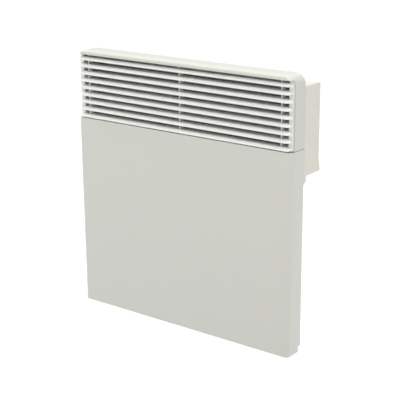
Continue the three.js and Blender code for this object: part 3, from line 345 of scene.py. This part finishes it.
def circuit_board(name):
    finish = Finish(name)
    height = finish.add("ShaderNodeSeparateXYZ", {}, {"Vector": finish.place}, out="Z")
    phase = height * TRACK_SCALE + finish.noise(70.0, 0.0) * 3.0
    tracks = phase.sum_with("FRACT", phase).over(TRACK_EDGE)
    dust = finish.noise(300.0, 3.0)
    return finish.surface(
        Base_Color=finish.blend(tracks * 0.6, (0.018, 0.075, 0.035), (0.05, 0.17, 0.08)),
        Roughness=dust * 0.2 + 0.28,
        Normal=finish.bump(tracks, 0.00004, 0.5),
    )


unglazed_ceramic("ceramic")
circuit_board("board_green")
print("also:", *list(finishes)[-2:])

# %% [markdown]
# ## Dress the frame's parts
# Each part of the frame names the slot it takes its finish from, so one loop dresses them all.
# Pieces that are modelled again below take the same finishes.

# %% One finish for each slot
slot_of = {part["node"]: part["material_slot"] for part in frame["record"]["subparts"]}
for node, part in frame["nodes"].items():
    part.data.materials.clear()
    part.data.materials.append(finishes[slot_of[node]])
print("dressed:", len(slot_of), "parts in", len(set(slot_of.values())), "finishes")

# %% [markdown]
# ## Working on a piece
# A new piece starts from one primitive, added at its real size and place. To shape it, the faces or
# edges to work on are picked by where they are or which way they face, and then one of Blender's
# own edit tools is run on them. These few helpers keep each step to one line.


# %% Start a piece and pick parts of it
TOUCH = 0.05 * MM
OVER = 5 * MM


def only(piece):
    bpy.ops.object.select_all(action="DESELECT")
    piece.select_set(True)
    bpy.context.view_layer.objects.active = piece


def finish_placing(name):
    piece = bpy.context.active_object
    piece.name = piece.data.name = name
    bpy.ops.object.transform_apply(location=True, rotation=True, scale=True)
    return piece


def start_block(name, low, high):
    low, high = Vector(low), Vector(high)
    bpy.ops.object.select_all(action="DESELECT")
    bpy.ops.mesh.primitive_cube_add(size=1, location=(low + high) / 2, scale=high - low)
    return finish_placing(name)


def start_rod(name, centre, radius, length, axis="Z", sides=48):
    turn = {"X": (0, math.pi / 2, 0), "Y": (math.pi / 2, 0, 0), "Z": (0, 0, 0)}[axis]
    bpy.ops.object.select_all(action="DESELECT")
    bpy.ops.mesh.primitive_cylinder_add(
        vertices=sides, radius=radius, depth=length, location=centre, rotation=turn
    )
    return finish_placing(name)


def editing(piece, kind):
    only(piece)
    bpy.ops.object.mode_set(mode="EDIT")
    bpy.ops.mesh.select_mode(type=kind)
    bpy.ops.mesh.select_all(action="DESELECT")


def leave_editing():
    bpy.ops.object.mode_set(mode="OBJECT")


def pick_faces(piece, wanted):
    editing(piece, "FACE")
    mesh = bmesh.from_edit_mesh(piece.data)
    for face in mesh.faces:
        face.select_set(wanted(face.calc_center_median(), face.normal))
    bmesh.update_edit_mesh(piece.data)


def pick_edges(piece, wanted):
    editing(piece, "EDGE")
    mesh = bmesh.from_edit_mesh(piece.data)
    for edge in mesh.edges:
        a, b = (corner.co for corner in edge.verts)
        edge.select_set(wanted(a, b))
    bmesh.update_edit_mesh(piece.data)


def near(value, target, reach=TOUCH):
    return abs(value - target) < reach


def both(a, b, axis, value):
    """Whether both ends of an edge lie at one value of x, y or z."""
    return near(getattr(a, axis), value) and near(getattr(b, axis), value)


def round_edges(piece, wanted, radius, segments, fullness=0.5):
    pick_edges(piece, wanted)
    bpy.ops.mesh.bevel(offset=radius, segments=segments, profile=fullness, affect="EDGES")
    leave_editing()


print("helpers: start, pick, round")


# %% Finish a piece
def use_modifier(piece, kind, **settings):
    only(piece)
    modifier = piece.modifiers.new(kind.title(), kind)
    for key, value in settings.items():
        setattr(modifier, key, value)
    bpy.ops.object.modifier_apply(modifier=modifier.name)


def thicken(piece, wall):
    use_modifier(piece, "SOLIDIFY", thickness=wall, offset=-1.0, use_even_offset=True)


def cut_away(piece, *tools):
    for tool in tools:
        use_modifier(piece, "BOOLEAN", operation="DIFFERENCE", solver="EXACT", object=tool)
        bpy.data.objects.remove(tool, do_unlink=True)


def fuse(piece, *others):
    for other in others:
        use_modifier(piece, "BOOLEAN", operation="UNION", solver="EXACT", object=other)
        bpy.data.objects.remove(other, do_unlink=True)


def merge(piece, *others):
    only(piece)
    for other in others:
        other.select_set(True)
    bpy.ops.object.join()


def soften(piece, radius, segments=2, angle=40):
    use_modifier(
        piece,
        "BEVEL",
        width=radius,
        segments=segments,
        limit_method="ANGLE",
        angle_limit=math.radians(angle),
    )


def smooth(piece, angle=35):
    only(piece)
    bpy.ops.object.shade_smooth_by_angle(angle=math.radians(angle))


def settle(piece, slot, body, *nodes, finish=None):
    """Gives the piece its finish, the body it rides on, and the frame's parts it stands for."""
    piece.data.materials.clear()
    piece.data.materials.append(finishes[finish or slot])
    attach(piece, body)
    if nodes:
        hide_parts(*nodes)
    triangles = sum(len(face.vertices) - 2 for face in piece.data.polygons)
    print(piece.name, "on", body, "with", triangles, "triangles")


print("helpers: thicken, cut away, soften, settle")

# %% [markdown]
# ## Front panel
# One sheet, 1 mm thick, folded back at both sides to the full depth of the casing, with a small lip
# behind each side and a hem along the top and the bottom. It starts as a closed block: the two
# front edges are rounded to the bend, the sheet's thickness is given inwards, and what isn't sheet
# is cut out. `OVER` is how far a cutting block runs past what it cuts.

# %% Front panel
SHEET = 1 * MM
BEND = 7 * MM
LIP = 9 * MM
HEM = 8 * MM
NOTCH = (5.5 * MM, 9.2 * MM)
FOLD_EDGE = 0.45 * MM
BEND_SEGMENTS = 10

panel_low, panel_high = (Vector(corner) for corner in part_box("front_panel"))


def front_panel():
    low, high = panel_low, panel_high
    piece = start_block("front_panel_sheet", low, high)
    upright = lambda a, b: both(a, b, "y", low.y) and near(a.x, b.x)
    round_edges(piece, upright, BEND, BEND_SEGMENTS)
    thicken(piece, SHEET)
    inside = high.x - SHEET
    front, foot, top = low.y + HEM, low.z - OVER, high.z + OVER
    depth, height = NOTCH
    cut_away(
        piece,
        start_block("tool", (-inside + LIP, front, foot), (inside - LIP, high.y + OVER, top)),
        start_block("tool", (-inside, front, foot), (inside, high.y - SHEET, top)),
        start_block("tool", (-1, high.y - depth, foot), (1, high.y + OVER, low.z + height)),
    )
    soften(piece, FOLD_EDGE)
    smooth(piece)
    return piece


settle(front_panel(), "enamel_white", "casing", "front_panel")

# %% [markdown]
# ## Hood
# A pressed cap in the shape of an upturned U. Its corners have a generous radius seen from the
# front, and its front edge is rolled over all the way round, which is what catches the bright line
# in the photograph. Rounding the corners of a block first, and the front edge after, makes both
# meet as they do in a pressing. Below its brow the front is open for the louvres.

# %% Hood
HOOD_WALL = 1.5 * MM
HOOD_CORNER = 16 * MM
HOOD_EDGE = 9 * MM
BROW = 6.85 * MM
HOOD_SIDE_FRONT = 9 * MM
ROLL_FULLNESS = 0.62
CORNER_SEGMENTS = 12
ROLL_SEGMENTS = 10
OPEN_BELOW = 60 * MM
HOOD_FOLD_EDGE = 0.35 * MM

hood_low, hood_high = (Vector(corner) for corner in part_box("top_hood"))


def top_hood():
    low, high = hood_low, hood_high
    front = panel_low.y
    piece = start_block("hood_pressing", (low.x, front, low.z), high)
    top_corner = lambda a, b: both(a, b, "z", high.z) and near(a.x, b.x)
    round_edges(piece, top_corner, HOOD_CORNER, CORNER_SEGMENTS)
    front_edge = lambda a, b: both(a, b, "y", front) and max(a.z, b.z) > low.z + MM
    round_edges(piece, front_edge, HOOD_EDGE, ROLL_SEGMENTS, ROLL_FULLNESS)
    thicken(piece, HOOD_WALL)
    inside = high.x - HOOD_WALL
    before, foot = front - OVER, low.z - OVER
    mouth = (1, front + HOOD_SIDE_FRONT, high.z - BROW)
    hollow = (inside, high.y - SHEET, high.z - OPEN_BELOW)
    behind = (inside - LIP, high.y + OVER, high.z - HOOD_WALL - LIP)
    cut_away(
        piece,
        start_block("tool", (-1, before, foot), mouth),
        start_block("tool", (-inside, before, foot), hollow),
        start_block("tool", (-inside + LIP, front + BROW * 2, foot), behind),
    )
    soften(piece, HOOD_FOLD_EDGE)
    smooth(piece)
    return piece


settle(top_hood(), "enamel_white", "casing", "top_hood")

# %% [markdown]
# ## Louvres
# The outlet is one white moulding: nine blades, three thin ribs behind their noses, a stile at each
# end and a rail above and below. All blades are made by one function, at their own heights. A blade
# is a slab whose tail is lifted and thinned and whose ends are rounded back in plan. The upper
# front edge is cut back to a face that leans at 45 degrees, which leaves a low nose, and the sharp
# edges are then rounded a little.

# %% One louvre blade
BLADE_PITCH = 11.93 * MM
BLADE_DEPTH = 16 * MM
BLADE_HEIGHT = 4.7 * MM
BLADE_RISE = 5.2 * MM
BLADE_LEAN = 3.57 * MM
BLADE_TAIL = 1.4 * MM
BLADE_CORNER = 8 * MM
BLADE_INSET = 2.6 * MM
BLADE_FIRST = 0.9 * MM
NOSE_RADIUS = 0.7 * MM
NOSE_SEGMENTS = 3
NOSE_ANGLE = 28
PLAN_SEGMENTS = 8
LEVEL_REACH = 0.6 * MM

_, grille_high = (Vector(corner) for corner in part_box("outlet_grille"))


def louvre_blade(number):
    front = panel_low.y
    foot = hood_low.z + BLADE_FIRST + number * BLADE_PITCH
    back = front + BLADE_DEPTH
    half = panel_high.x - BLADE_INSET
    top = foot + BLADE_HEIGHT
    piece = start_block("blade", (-half, front, foot), (half, back, top))
    at_tail = lambda a, b: both(a, b, "y", back) and near(a.z, b.z)
    pick_edges(piece, lambda a, b: at_tail(a, b) and a.z > foot + MM)
    bpy.ops.transform.translate(value=(0, 0, BLADE_RISE - BLADE_HEIGHT))
    leave_editing()
    pick_edges(piece, lambda a, b: at_tail(a, b) and a.z < foot + MM)
    bpy.ops.transform.translate(value=(0, 0, BLADE_RISE - BLADE_TAIL))
    leave_editing()
    upright = lambda a, b: both(a, b, "y", front) and near(a.x, b.x)
    round_edges(piece, upright, BLADE_CORNER, PLAN_SEGMENTS)
    in_front = lambda point: point.y < front + BLADE_CORNER + 0.1 * MM
    level = lambda a, b: in_front(a) and in_front(b) and near(a.z, b.z, LEVEL_REACH)
    round_edges(piece, lambda a, b: level(a, b) and a.z > top - MM, BLADE_LEAN, 1)
    soften(piece, NOSE_RADIUS, NOSE_SEGMENTS, NOSE_ANGLE)
    return piece


print("blade pitch", BLADE_PITCH, "depth", BLADE_DEPTH)

# %% The whole moulding
GRILLE_FRONT = 7.2 * MM
GRILLE_DEPTH = 19 * MM
STILE = 7.75 * MM
RIB = (1.2 * MM, 5.2 * MM)
RIB_INSET = 21.5 * MM
RIB_SETBACK = 0.6 * MM
FIT = 0.3 * MM
GRILLE_WALL = 1.5 * MM


def louvres():
    front = panel_low.y
    high = grille_high
    foot = hood_low.z + FIT
    rail = hood_high.z - BROW + FIT
    reach = high.x
    low_corner = (-reach, front + GRILLE_FRONT, foot)
    piece = start_block("louvre_moulding", low_corner, (reach, front + GRILLE_DEPTH, high.z))
    top_corner = lambda a, b: both(a, b, "z", high.z) and near(a.x, b.x)
    round_edges(piece, top_corner, HOOD_CORNER - HOOD_WALL - FIT, PLAN_SEGMENTS)
    opening = reach - STILE
    mouth_low = (-opening, front, foot + GRILLE_WALL)
    cut_away(piece, start_block("tool", mouth_low, (opening, high.y + OVER, rail)))
    count = 1 + int((hood_high.z - BROW - hood_low.z - BLADE_FIRST - BLADE_HEIGHT) / BLADE_PITCH)
    blades = [louvre_blade(number) for number in range(count)]
    middle = panel_high.x - RIB_INSET
    width, rib_front = RIB
    ribs = [
        start_block(
            "rib",
            (x - width / 2, front + rib_front, foot + GRILLE_WALL / 2),
            (x + width / 2, front + BLADE_DEPTH - RIB_SETBACK, rail + GRILLE_WALL / 2),
        )
        for x in (-middle, 0, middle)
    ]
    merge(piece, *ribs, *blades)
    smooth(piece)
    return piece


settle(louvres(), "plastic_white", "casing", "outlet_grille")

# %% [markdown]
# ## Control box
# The deep box behind the right-hand end is a separate moulding. It is flat at the back, flares to
# the wall in a skirt near its foot, and ends below in a short step that lies against the casing.
# Planes cut the block into levels, and the back edge of each level is moved out, by the curve of
# the skirt.

# %% Control box shell
BOX_BOTTOM = 283 * MM
SKIRT_FLAT = 6 * MM
SKIRT_HEIGHT = 26 * MM
SKIRT_REACH = 3.75 * MM
FOOT_DEPTH = 8.5 * MM
BOX_CORNER = 4 * MM
BOX_WALL = 2 * MM
BOX_EDGE = 0.9 * MM
CORNER_STEPS = 6
LEVELS = 6
SPINDLE_HOLE = 3.8 * MM
GLAND_HOLE = 7 * MM
PIERCE = 8 * BOX_WALL

box_low, box_high = (Vector(corner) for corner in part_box("control_box"))
fascia_low, fascia_high = (Vector(corner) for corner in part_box("control_fascia"))
knob_low, knob_high = (Vector(corner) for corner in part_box("thermostat_knob"))
switch_low, switch_high = (Vector(corner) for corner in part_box("switch_body"))
lens_low, lens_high = (Vector(corner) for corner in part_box("indicator_lens"))
gland_low, gland_high = (Vector(corner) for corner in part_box("supply_grommet"))
casing_foot = panel_low.z
flat_back = box_high.y - SKIRT_REACH


def slice_level(piece, z):
    editing(piece, "FACE")
    bpy.ops.mesh.select_all(action="SELECT")
    bpy.ops.mesh.bisect(plane_co=(0, 0, z), plane_no=(0, 0, 1))
    leave_editing()


def skirt_shift(rise):
    """How far the back stands out at a height above the box's underside."""
    if rise < SKIRT_FLAT + 0.01 * MM:
        return SKIRT_REACH
    share = (rise - SKIRT_FLAT) / (SKIRT_HEIGHT - SKIRT_FLAT)
    return SKIRT_REACH * (1 - share) ** 2


def box_block():
    floor = casing_foot + BOX_BOTTOM
    high_corner = (box_high.x, flat_back, box_high.z)
    piece = start_block("control_box_shell", (box_low.x, box_low.y, floor), high_corner)
    rises = [SKIRT_FLAT + (SKIRT_HEIGHT - SKIRT_FLAT) * step / LEVELS for step in range(LEVELS + 1)]
    for rise in rises:
        slice_level(piece, floor + rise)
    for rise in [0.0, *rises[:-1]]:
        level = floor + rise
        pick_edges(piece, lambda a, b: both(a, b, "z", level) and both(a, b, "y", flat_back))
        bpy.ops.transform.translate(value=(0, skirt_shift(rise), 0))
        leave_editing()
    return piece


print("box: back at", round(flat_back, 4), "foot at", round(casing_foot + BOX_BOTTOM, 4))


# %% Control box, hollow and pierced
def control_box():
    piece = box_block()
    floor = casing_foot + BOX_BOTTOM
    foot_back = box_low.y + FOOT_DEPTH
    foot = start_block("foot", box_low, (box_high.x, foot_back, floor + MM))
    pick_edges(foot, lambda a, b: both(a, b, "z", box_low.z) and both(a, b, "y", foot_back))
    bpy.ops.transform.translate(value=(0, 0, FOOT_DEPTH / 2))
    leave_editing()
    fuse(piece, foot)
    back_edge = lambda a, b: both(a, b, "z", box_high.z) and both(a, b, "y", flat_back)
    round_edges(piece, back_edge, BOX_CORNER, CORNER_STEPS)
    soften(piece, BOX_EDGE, 3, 30)
    seat = fascia_low.z - FIT
    wall_side = panel_high.x - HOOD_WALL - LIP - FIT
    knob_x, knob_y = (knob_low.x + knob_high.x) / 2, (knob_low.y + knob_high.y) / 2
    gland_x, gland_y = (gland_low.x + gland_high.x) / 2, (gland_low.y + gland_high.y) / 2
    cut_away(
        piece,
        start_block(
            "tool",
            (box_low.x + BOX_WALL, -1, floor + BOX_WALL * 1.5),
            (box_high.x - BOX_WALL, flat_back - BOX_WALL, seat - BOX_WALL + FIT),
        ),
        start_block(
            "tool",
            (fascia_low.x - FIT, fascia_low.y - FIT, seat),
            (fascia_high.x + FIT, fascia_high.y + FIT, box_high.z + OVER),
        ),
        start_block(
            "tool",
            (wall_side, -1, box_low.z - OVER),
            (panel_high.x + OVER, panel_high.y + FIT, box_high.z + 2 * OVER),
        ),
        start_block(
            "tool",
            (switch_low.x - FIT, switch_low.y - FIT, seat - 3 * BOX_WALL),
            (switch_high.x + FIT, switch_high.y + FIT, seat + OVER),
        ),
        start_rod("tool", (knob_x, knob_y, seat), SPINDLE_HOLE, PIERCE),
        start_rod("tool", (gland_x, gland_y, floor), GLAND_HOLE, PIERCE),
    )
    smooth(piece, 30)
    return piece


settle(control_box(), "box_white", "casing", "control_box")

# %% [markdown]
# ## Thermostat knob
# The knob starts as a disc with eighty sides. Every fourth upright edge is drawn in towards the
# axis, and its two neighbours half as far, which gives twenty soft flutes. The crown is inset and
# raised, a bar on top points at the number, and a blind bore below takes the spindle.

# %% The knob
KNOB_HEIGHT = 9 * MM
FLUTE_DEPTH = 0.9 * MM
FLUTE_SIDES = 4
FLUTES = 20
CROWN_INSET = 1.6 * MM
CROWN_DROP = CROWN_INSET * 0.8
POINTER = 1.8 * MM
POINTER_END = 2.6 * MM
POINTER_EDGE = 0.3 * MM
SPINDLE_BORE = 3.3 * MM
BORE_DEPTH = 7.6 * MM

knob_middle = (knob_low + knob_high) / 2
knob_radius = (knob_high.x - knob_low.x) / 2


def draw_in(piece, step, depth):
    """Moves every fourth upright edge of the disc's rim inwards, starting at number `step`."""
    side = math.tau / (FLUTES * FLUTE_SIDES)
    angle = lambda a: math.atan2(a.y - knob_middle.y, a.x - knob_middle.x) % math.tau
    chosen = lambda a: round(angle(a) / side) % FLUTE_SIDES == step
    pick_edges(piece, lambda a, b: near(a.x, b.x) and near(a.y, b.y) and chosen(a))
    share = 1 - depth / knob_radius
    bpy.ops.transform.resize(value=(share, share, 1), center_override=knob_middle)
    leave_editing()


def thermostat_knob():
    foot = knob_low.z
    middle = (knob_middle.x, knob_middle.y, foot + KNOB_HEIGHT / 2)
    piece = start_rod("fluted_knob", middle, knob_radius, KNOB_HEIGHT, sides=FLUTES * FLUTE_SIDES)
    draw_in(piece, 1, FLUTE_DEPTH / 2)
    draw_in(piece, 2, FLUTE_DEPTH)
    draw_in(piece, 3, FLUTE_DEPTH / 2)
    pick_faces(piece, lambda centre, normal: normal.z > 0.9)
    bpy.ops.mesh.inset(thickness=CROWN_INSET)
    leave_editing()
    rim = lambda a, b: both(a, b, "z", foot + KNOB_HEIGHT)
    outside = lambda a: (a.xy - knob_middle.xy).length > knob_radius - FLUTE_DEPTH * 1.2
    pick_edges(piece, lambda a, b: rim(a, b) and outside(a) and outside(b))
    bpy.ops.transform.translate(value=(0, 0, -CROWN_DROP))
    leave_editing()
    x, y = knob_middle.x, knob_middle.y
    pointer = start_block(
        "tool",
        (x - POINTER / 2, y + 2 * POINTER, foot + KNOB_HEIGHT - MM),
        (x + POINTER / 2, y + knob_radius - POINTER_END, knob_high.z),
    )
    soften(pointer, POINTER_EDGE)
    merge(piece, pointer)
    bore_middle = (x, y, foot + BORE_DEPTH / 2 - MM / 2)
    cut_away(piece, start_rod("tool", bore_middle, SPINDLE_BORE, BORE_DEPTH + MM, sides=32))
    smooth(piece, 40)
    return piece


settle(thermostat_knob(), "plastic_white", "thermostat", "thermostat_knob")

# %% [markdown]
# ## Marks round the controls
# The dial is pad-printed on the fascia: a short line every 27 degrees over the knob's travel, a
# number from 1 to 6 at every other line, and I and O at the two ends of the switch. Each mark is a
# skin of ink a few hundredths of a millimetre thick.


# %% Dial and switch marks
def printing_ink(name, light, shade):
    finish = Finish(name)
    wear = finish.noise(900.0, 3.0)
    colour = finish.blend(wear, shade, light)
    return finish.surface(Base_Color=colour, Roughness=wear * 0.15 + 0.45)


printing_ink("print_grey", (0.075, 0.078, 0.08), (0.06, 0.062, 0.064))
INK = 0.04 * MM
TRAVEL = 135
TICK_RADIUS = 15.9 * MM
NUMBER_RADIUS = 18.3 * MM
NUMBER_HEIGHT = 1.9 * MM
LETTER_SCALE = 1.4
LINE_HALF = 0.18 * MM
LONG_LINE = 1.1 * MM
SHORT_LINE = 0.7 * MM
LINES = 11
NUMBERS = 6
SWITCH_GAP = 1.6 * MM
fascia_top = fascia_high.z


def around(degrees, radius):
    """A place round the knob, in degrees clockwise from the wall side."""
    turn = math.radians(degrees)
    return knob_middle.x + math.sin(turn) * radius, knob_middle.y + math.cos(turn) * radius


def tick(number, degrees, length):
    x, y = around(degrees, TICK_RADIUS)
    mark = start_block(
        f"dial_line_{number}",
        (x - LINE_HALF, y - length / 2, fascia_top - INK / 2),
        (x + LINE_HALF, y + length / 2, fascia_top + INK),
    )
    pivot = (x, y, fascia_top)
    bpy.ops.transform.rotate(value=math.radians(degrees), orient_axis="Z", center_override=pivot)
    bpy.ops.object.transform_apply(location=True, rotation=True, scale=True)
    return mark


def letter(name, text, place, height):
    bpy.ops.object.select_all(action="DESELECT")
    bpy.ops.object.text_add(location=(0, 0, 0))
    mark = bpy.context.active_object
    mark.data.body = text
    mark.data.align_x = "CENTER"
    mark.data.align_y = "CENTER"
    mark.data.size = height * LETTER_SCALE
    mark.data.extrude = INK / 2
    bpy.ops.object.convert(target="MESH")
    mark = bpy.context.active_object
    mark.name = mark.data.name = name
    bpy.ops.transform.translate(value=(*place, fascia_top + INK / 4))
    bpy.ops.object.transform_apply(location=True, rotation=True, scale=True)
    return mark


def dial_number(number):
    place = around(TRAVEL * ((number - 1) / 2.5 - 1), NUMBER_RADIUS)
    return letter(f"dial_number_{number}", str(number), place, NUMBER_HEIGHT)


lines = [
    tick(number + 1, TRAVEL * (number / 5 - 1), SHORT_LINE if number % 2 else LONG_LINE)
    for number in range(LINES)
]
numbers = [dial_number(number + 1) for number in range(NUMBERS)]
switch_middle = (switch_low + switch_high) / 2
switch_marks = [
    letter("switch_mark_on", "I", (switch_middle.x, switch_high.y + SWITCH_GAP), NUMBER_HEIGHT),
    letter("switch_mark_off", "O", (switch_middle.x, switch_low.y - SWITCH_GAP), NUMBER_HEIGHT),
]
for name, marks in (("dial_print", lines + numbers), ("switch_print", switch_marks)):
    merge(*marks)
    marks[0].name = marks[0].data.name = name
    settle(marks[0], "plastic_black", "casing", finish="print_grey")

# %% [markdown]
# ## Signal lamp
# A small red lens: a rod whose top edge is rounded off almost to a dome.

# %% Lens
LENS_ROUND = 1.1 * MM


def signal_lens():
    radius = (lens_high.x - lens_low.x) / 2
    middle = (lens_low + lens_high) / 2
    piece = start_rod("signal_lens", middle, radius, lens_high.z - lens_low.z, sides=40)
    round_edges(piece, lambda a, b: both(a, b, "z", lens_high.z), LENS_ROUND, 6)
    smooth(piece, 50)
    return piece


settle(signal_lens(), "lens_red", "casing", "indicator_lens")

# %% [markdown]
# ## Screws
# Pan-head screws with a cross recess hold the back lips of the hood and the front panel. One is
# made at the origin with its axis along Y, and each screw is a copy of it that is moved to its
# place.

# %% Screws
SCREW_RADIUS = 3.4 * MM
SCREW_HEIGHT = 1.7 * MM
SCREW_CROWN = 1.2 * MM
RECESS = (0.9 * MM, 3.8 * MM, 1.1 * MM)
TOP_SCREW = 150 * MM
TOP_SCREW_INNER = 50 * MM
SIDE_SCREW_HOOD = 40 * MM
SIDE_SCREW_LOW = 60 * MM
SIDE_SCREW_HIGH = 220 * MM


def pan_screw():
    middle = (0, SCREW_HEIGHT / 2, 0)
    piece = start_rod("screw", middle, SCREW_RADIUS, SCREW_HEIGHT, axis="Y", sides=32)
    round_edges(piece, lambda a, b: both(a, b, "y", SCREW_HEIGHT), SCREW_CROWN, 5)
    width, length, depth = (value / 2 for value in RECESS)
    floor = SCREW_HEIGHT - depth * 2
    cut_away(
        piece,
        start_block("tool", (-width, floor, -length), (width, SCREW_HEIGHT + MM, length)),
        start_block("tool", (-length, floor, -width), (length, SCREW_HEIGHT + MM, width)),
    )
    smooth(piece, 35)
    return piece


def copy_to(piece, name, place):
    only(piece)
    bpy.ops.object.duplicate()
    copied = bpy.context.active_object
    copied.name = copied.data.name = name
    bpy.ops.transform.translate(value=place)
    bpy.ops.object.transform_apply(location=True, rotation=True, scale=True)
    return copied


first_screw = pan_screw()
lip_back = hood_high.y
lip_height = hood_high.z - HOOD_WALL - LIP / 2
lip_side = hood_high.x - HOOD_WALL - LIP / 2
places = {
    "hood_screw_1": (-TOP_SCREW, lip_back, lip_height),
    "hood_screw_2": (-TOP_SCREW_INNER, lip_back, lip_height),
    "hood_screw_3": (TOP_SCREW_INNER, lip_back, lip_height),
    "hood_screw_4": (-lip_side, lip_back, hood_low.z + SIDE_SCREW_HOOD),
    "panel_screw_1": (-lip_side, lip_back, casing_foot + SIDE_SCREW_LOW),
    "panel_screw_2": (lip_side, lip_back, casing_foot + SIDE_SCREW_LOW),
    "panel_screw_3": (-lip_side, lip_back, casing_foot + SIDE_SCREW_HIGH),
    "panel_screw_4": (lip_side, lip_back, casing_foot + SIDE_SCREW_HIGH),
}
for name, place in places.items():
    settle(copy_to(first_screw, name, place), "steel", "casing", finish="screw_zinc")
bpy.data.objects.remove(first_screw, do_unlink=True)

# %% [markdown]
# ## Floor and light
# The photograph is lit by one very broad soft light overhead and cut out on white. The heater's top
# faces are almost white, its right side is a little brighter than its front at the top, and both
# fade towards the foot. A pale floor gives the white ground and the light from below.

# %% Floor
FLOOR_LEVEL = -0.45
FLOOR_SIZE = 40
PAPER_LIGHT = (0.75, 0.75, 0.75)
PAPER_SHADE = (0.73, 0.73, 0.73)


def pale_floor():
    bpy.ops.object.select_all(action="DESELECT")
    bpy.ops.mesh.primitive_plane_add(size=FLOOR_SIZE, location=(0, 0, FLOOR_LEVEL))
    floor = finish_placing("floor")
    paper = Finish("floor_paper")
    fibres = paper.noise(300.0, 3.0)
    paper.surface(Base_Color=paper.blend(fibres, PAPER_SHADE, PAPER_LIGHT), Roughness=0.9)
    floor.data.materials.append(paper.material)


pale_floor()
print("floor at", FLOOR_LEVEL)

# %% Lights
BROAD = 1.12
OVERHEAD = 2.12


def soft_box(name, place, target, size, power):
    light = bpy.data.lights.new(name, "AREA")
    light.shape = "RECTANGLE"
    light.size, light.size_y = size
    light.energy = power
    lamp = bpy.data.objects.new(name, light)
    bpy.context.scene.collection.objects.link(lamp)
    lamp.location = place
    lamp.rotation_euler = (Vector(target) - Vector(place)).to_track_quat("-Z", "Y").to_euler()


def soft_room(name):
    """Broad light gathered overhead, and plain white to the eye."""
    world = bpy.data.worlds.new(name)
    bpy.context.scene.world = world
    world.use_nodes = True
    room = Bench(world.node_tree)
    direction = room.add("ShaderNodeTexCoord", out="Generated")
    height = room.add("ShaderNodeSeparateXYZ", {}, {"Vector": direction}, out="Z")
    above = height.sum_with("MAXIMUM", height, 0.0)
    glow = above * BROAD + (above ** 3) * OVERHEAD
    seen = room.add("ShaderNodeLightPath", out="Is Camera Ray")
    strength = glow * (1 - seen) + seen
    light = room.add("ShaderNodeBackground", {}, {"Color": (1, 1, 1, 1), "Strength": strength})
    end = room.tree.nodes.new("ShaderNodeOutputWorld")
    room.tree.links.new(light.socket, end.inputs["Surface"])


soft_box(
    "upper_left", place=(-0.9, -1.5, 1.1), target=(-0.1, -0.08, 0.1), size=(0.7, 0.7), power=2.5
)
soft_box("right", place=(2.0, -0.1, 0.9), target=(0.1, -0.08, 0.1), size=(1.0, 1.0), power=1.7)
soft_room("soft_room")
bpy.context.scene.view_settings.view_transform = "Standard"
print("room: broad", BROAD, "overhead", OVERHEAD)
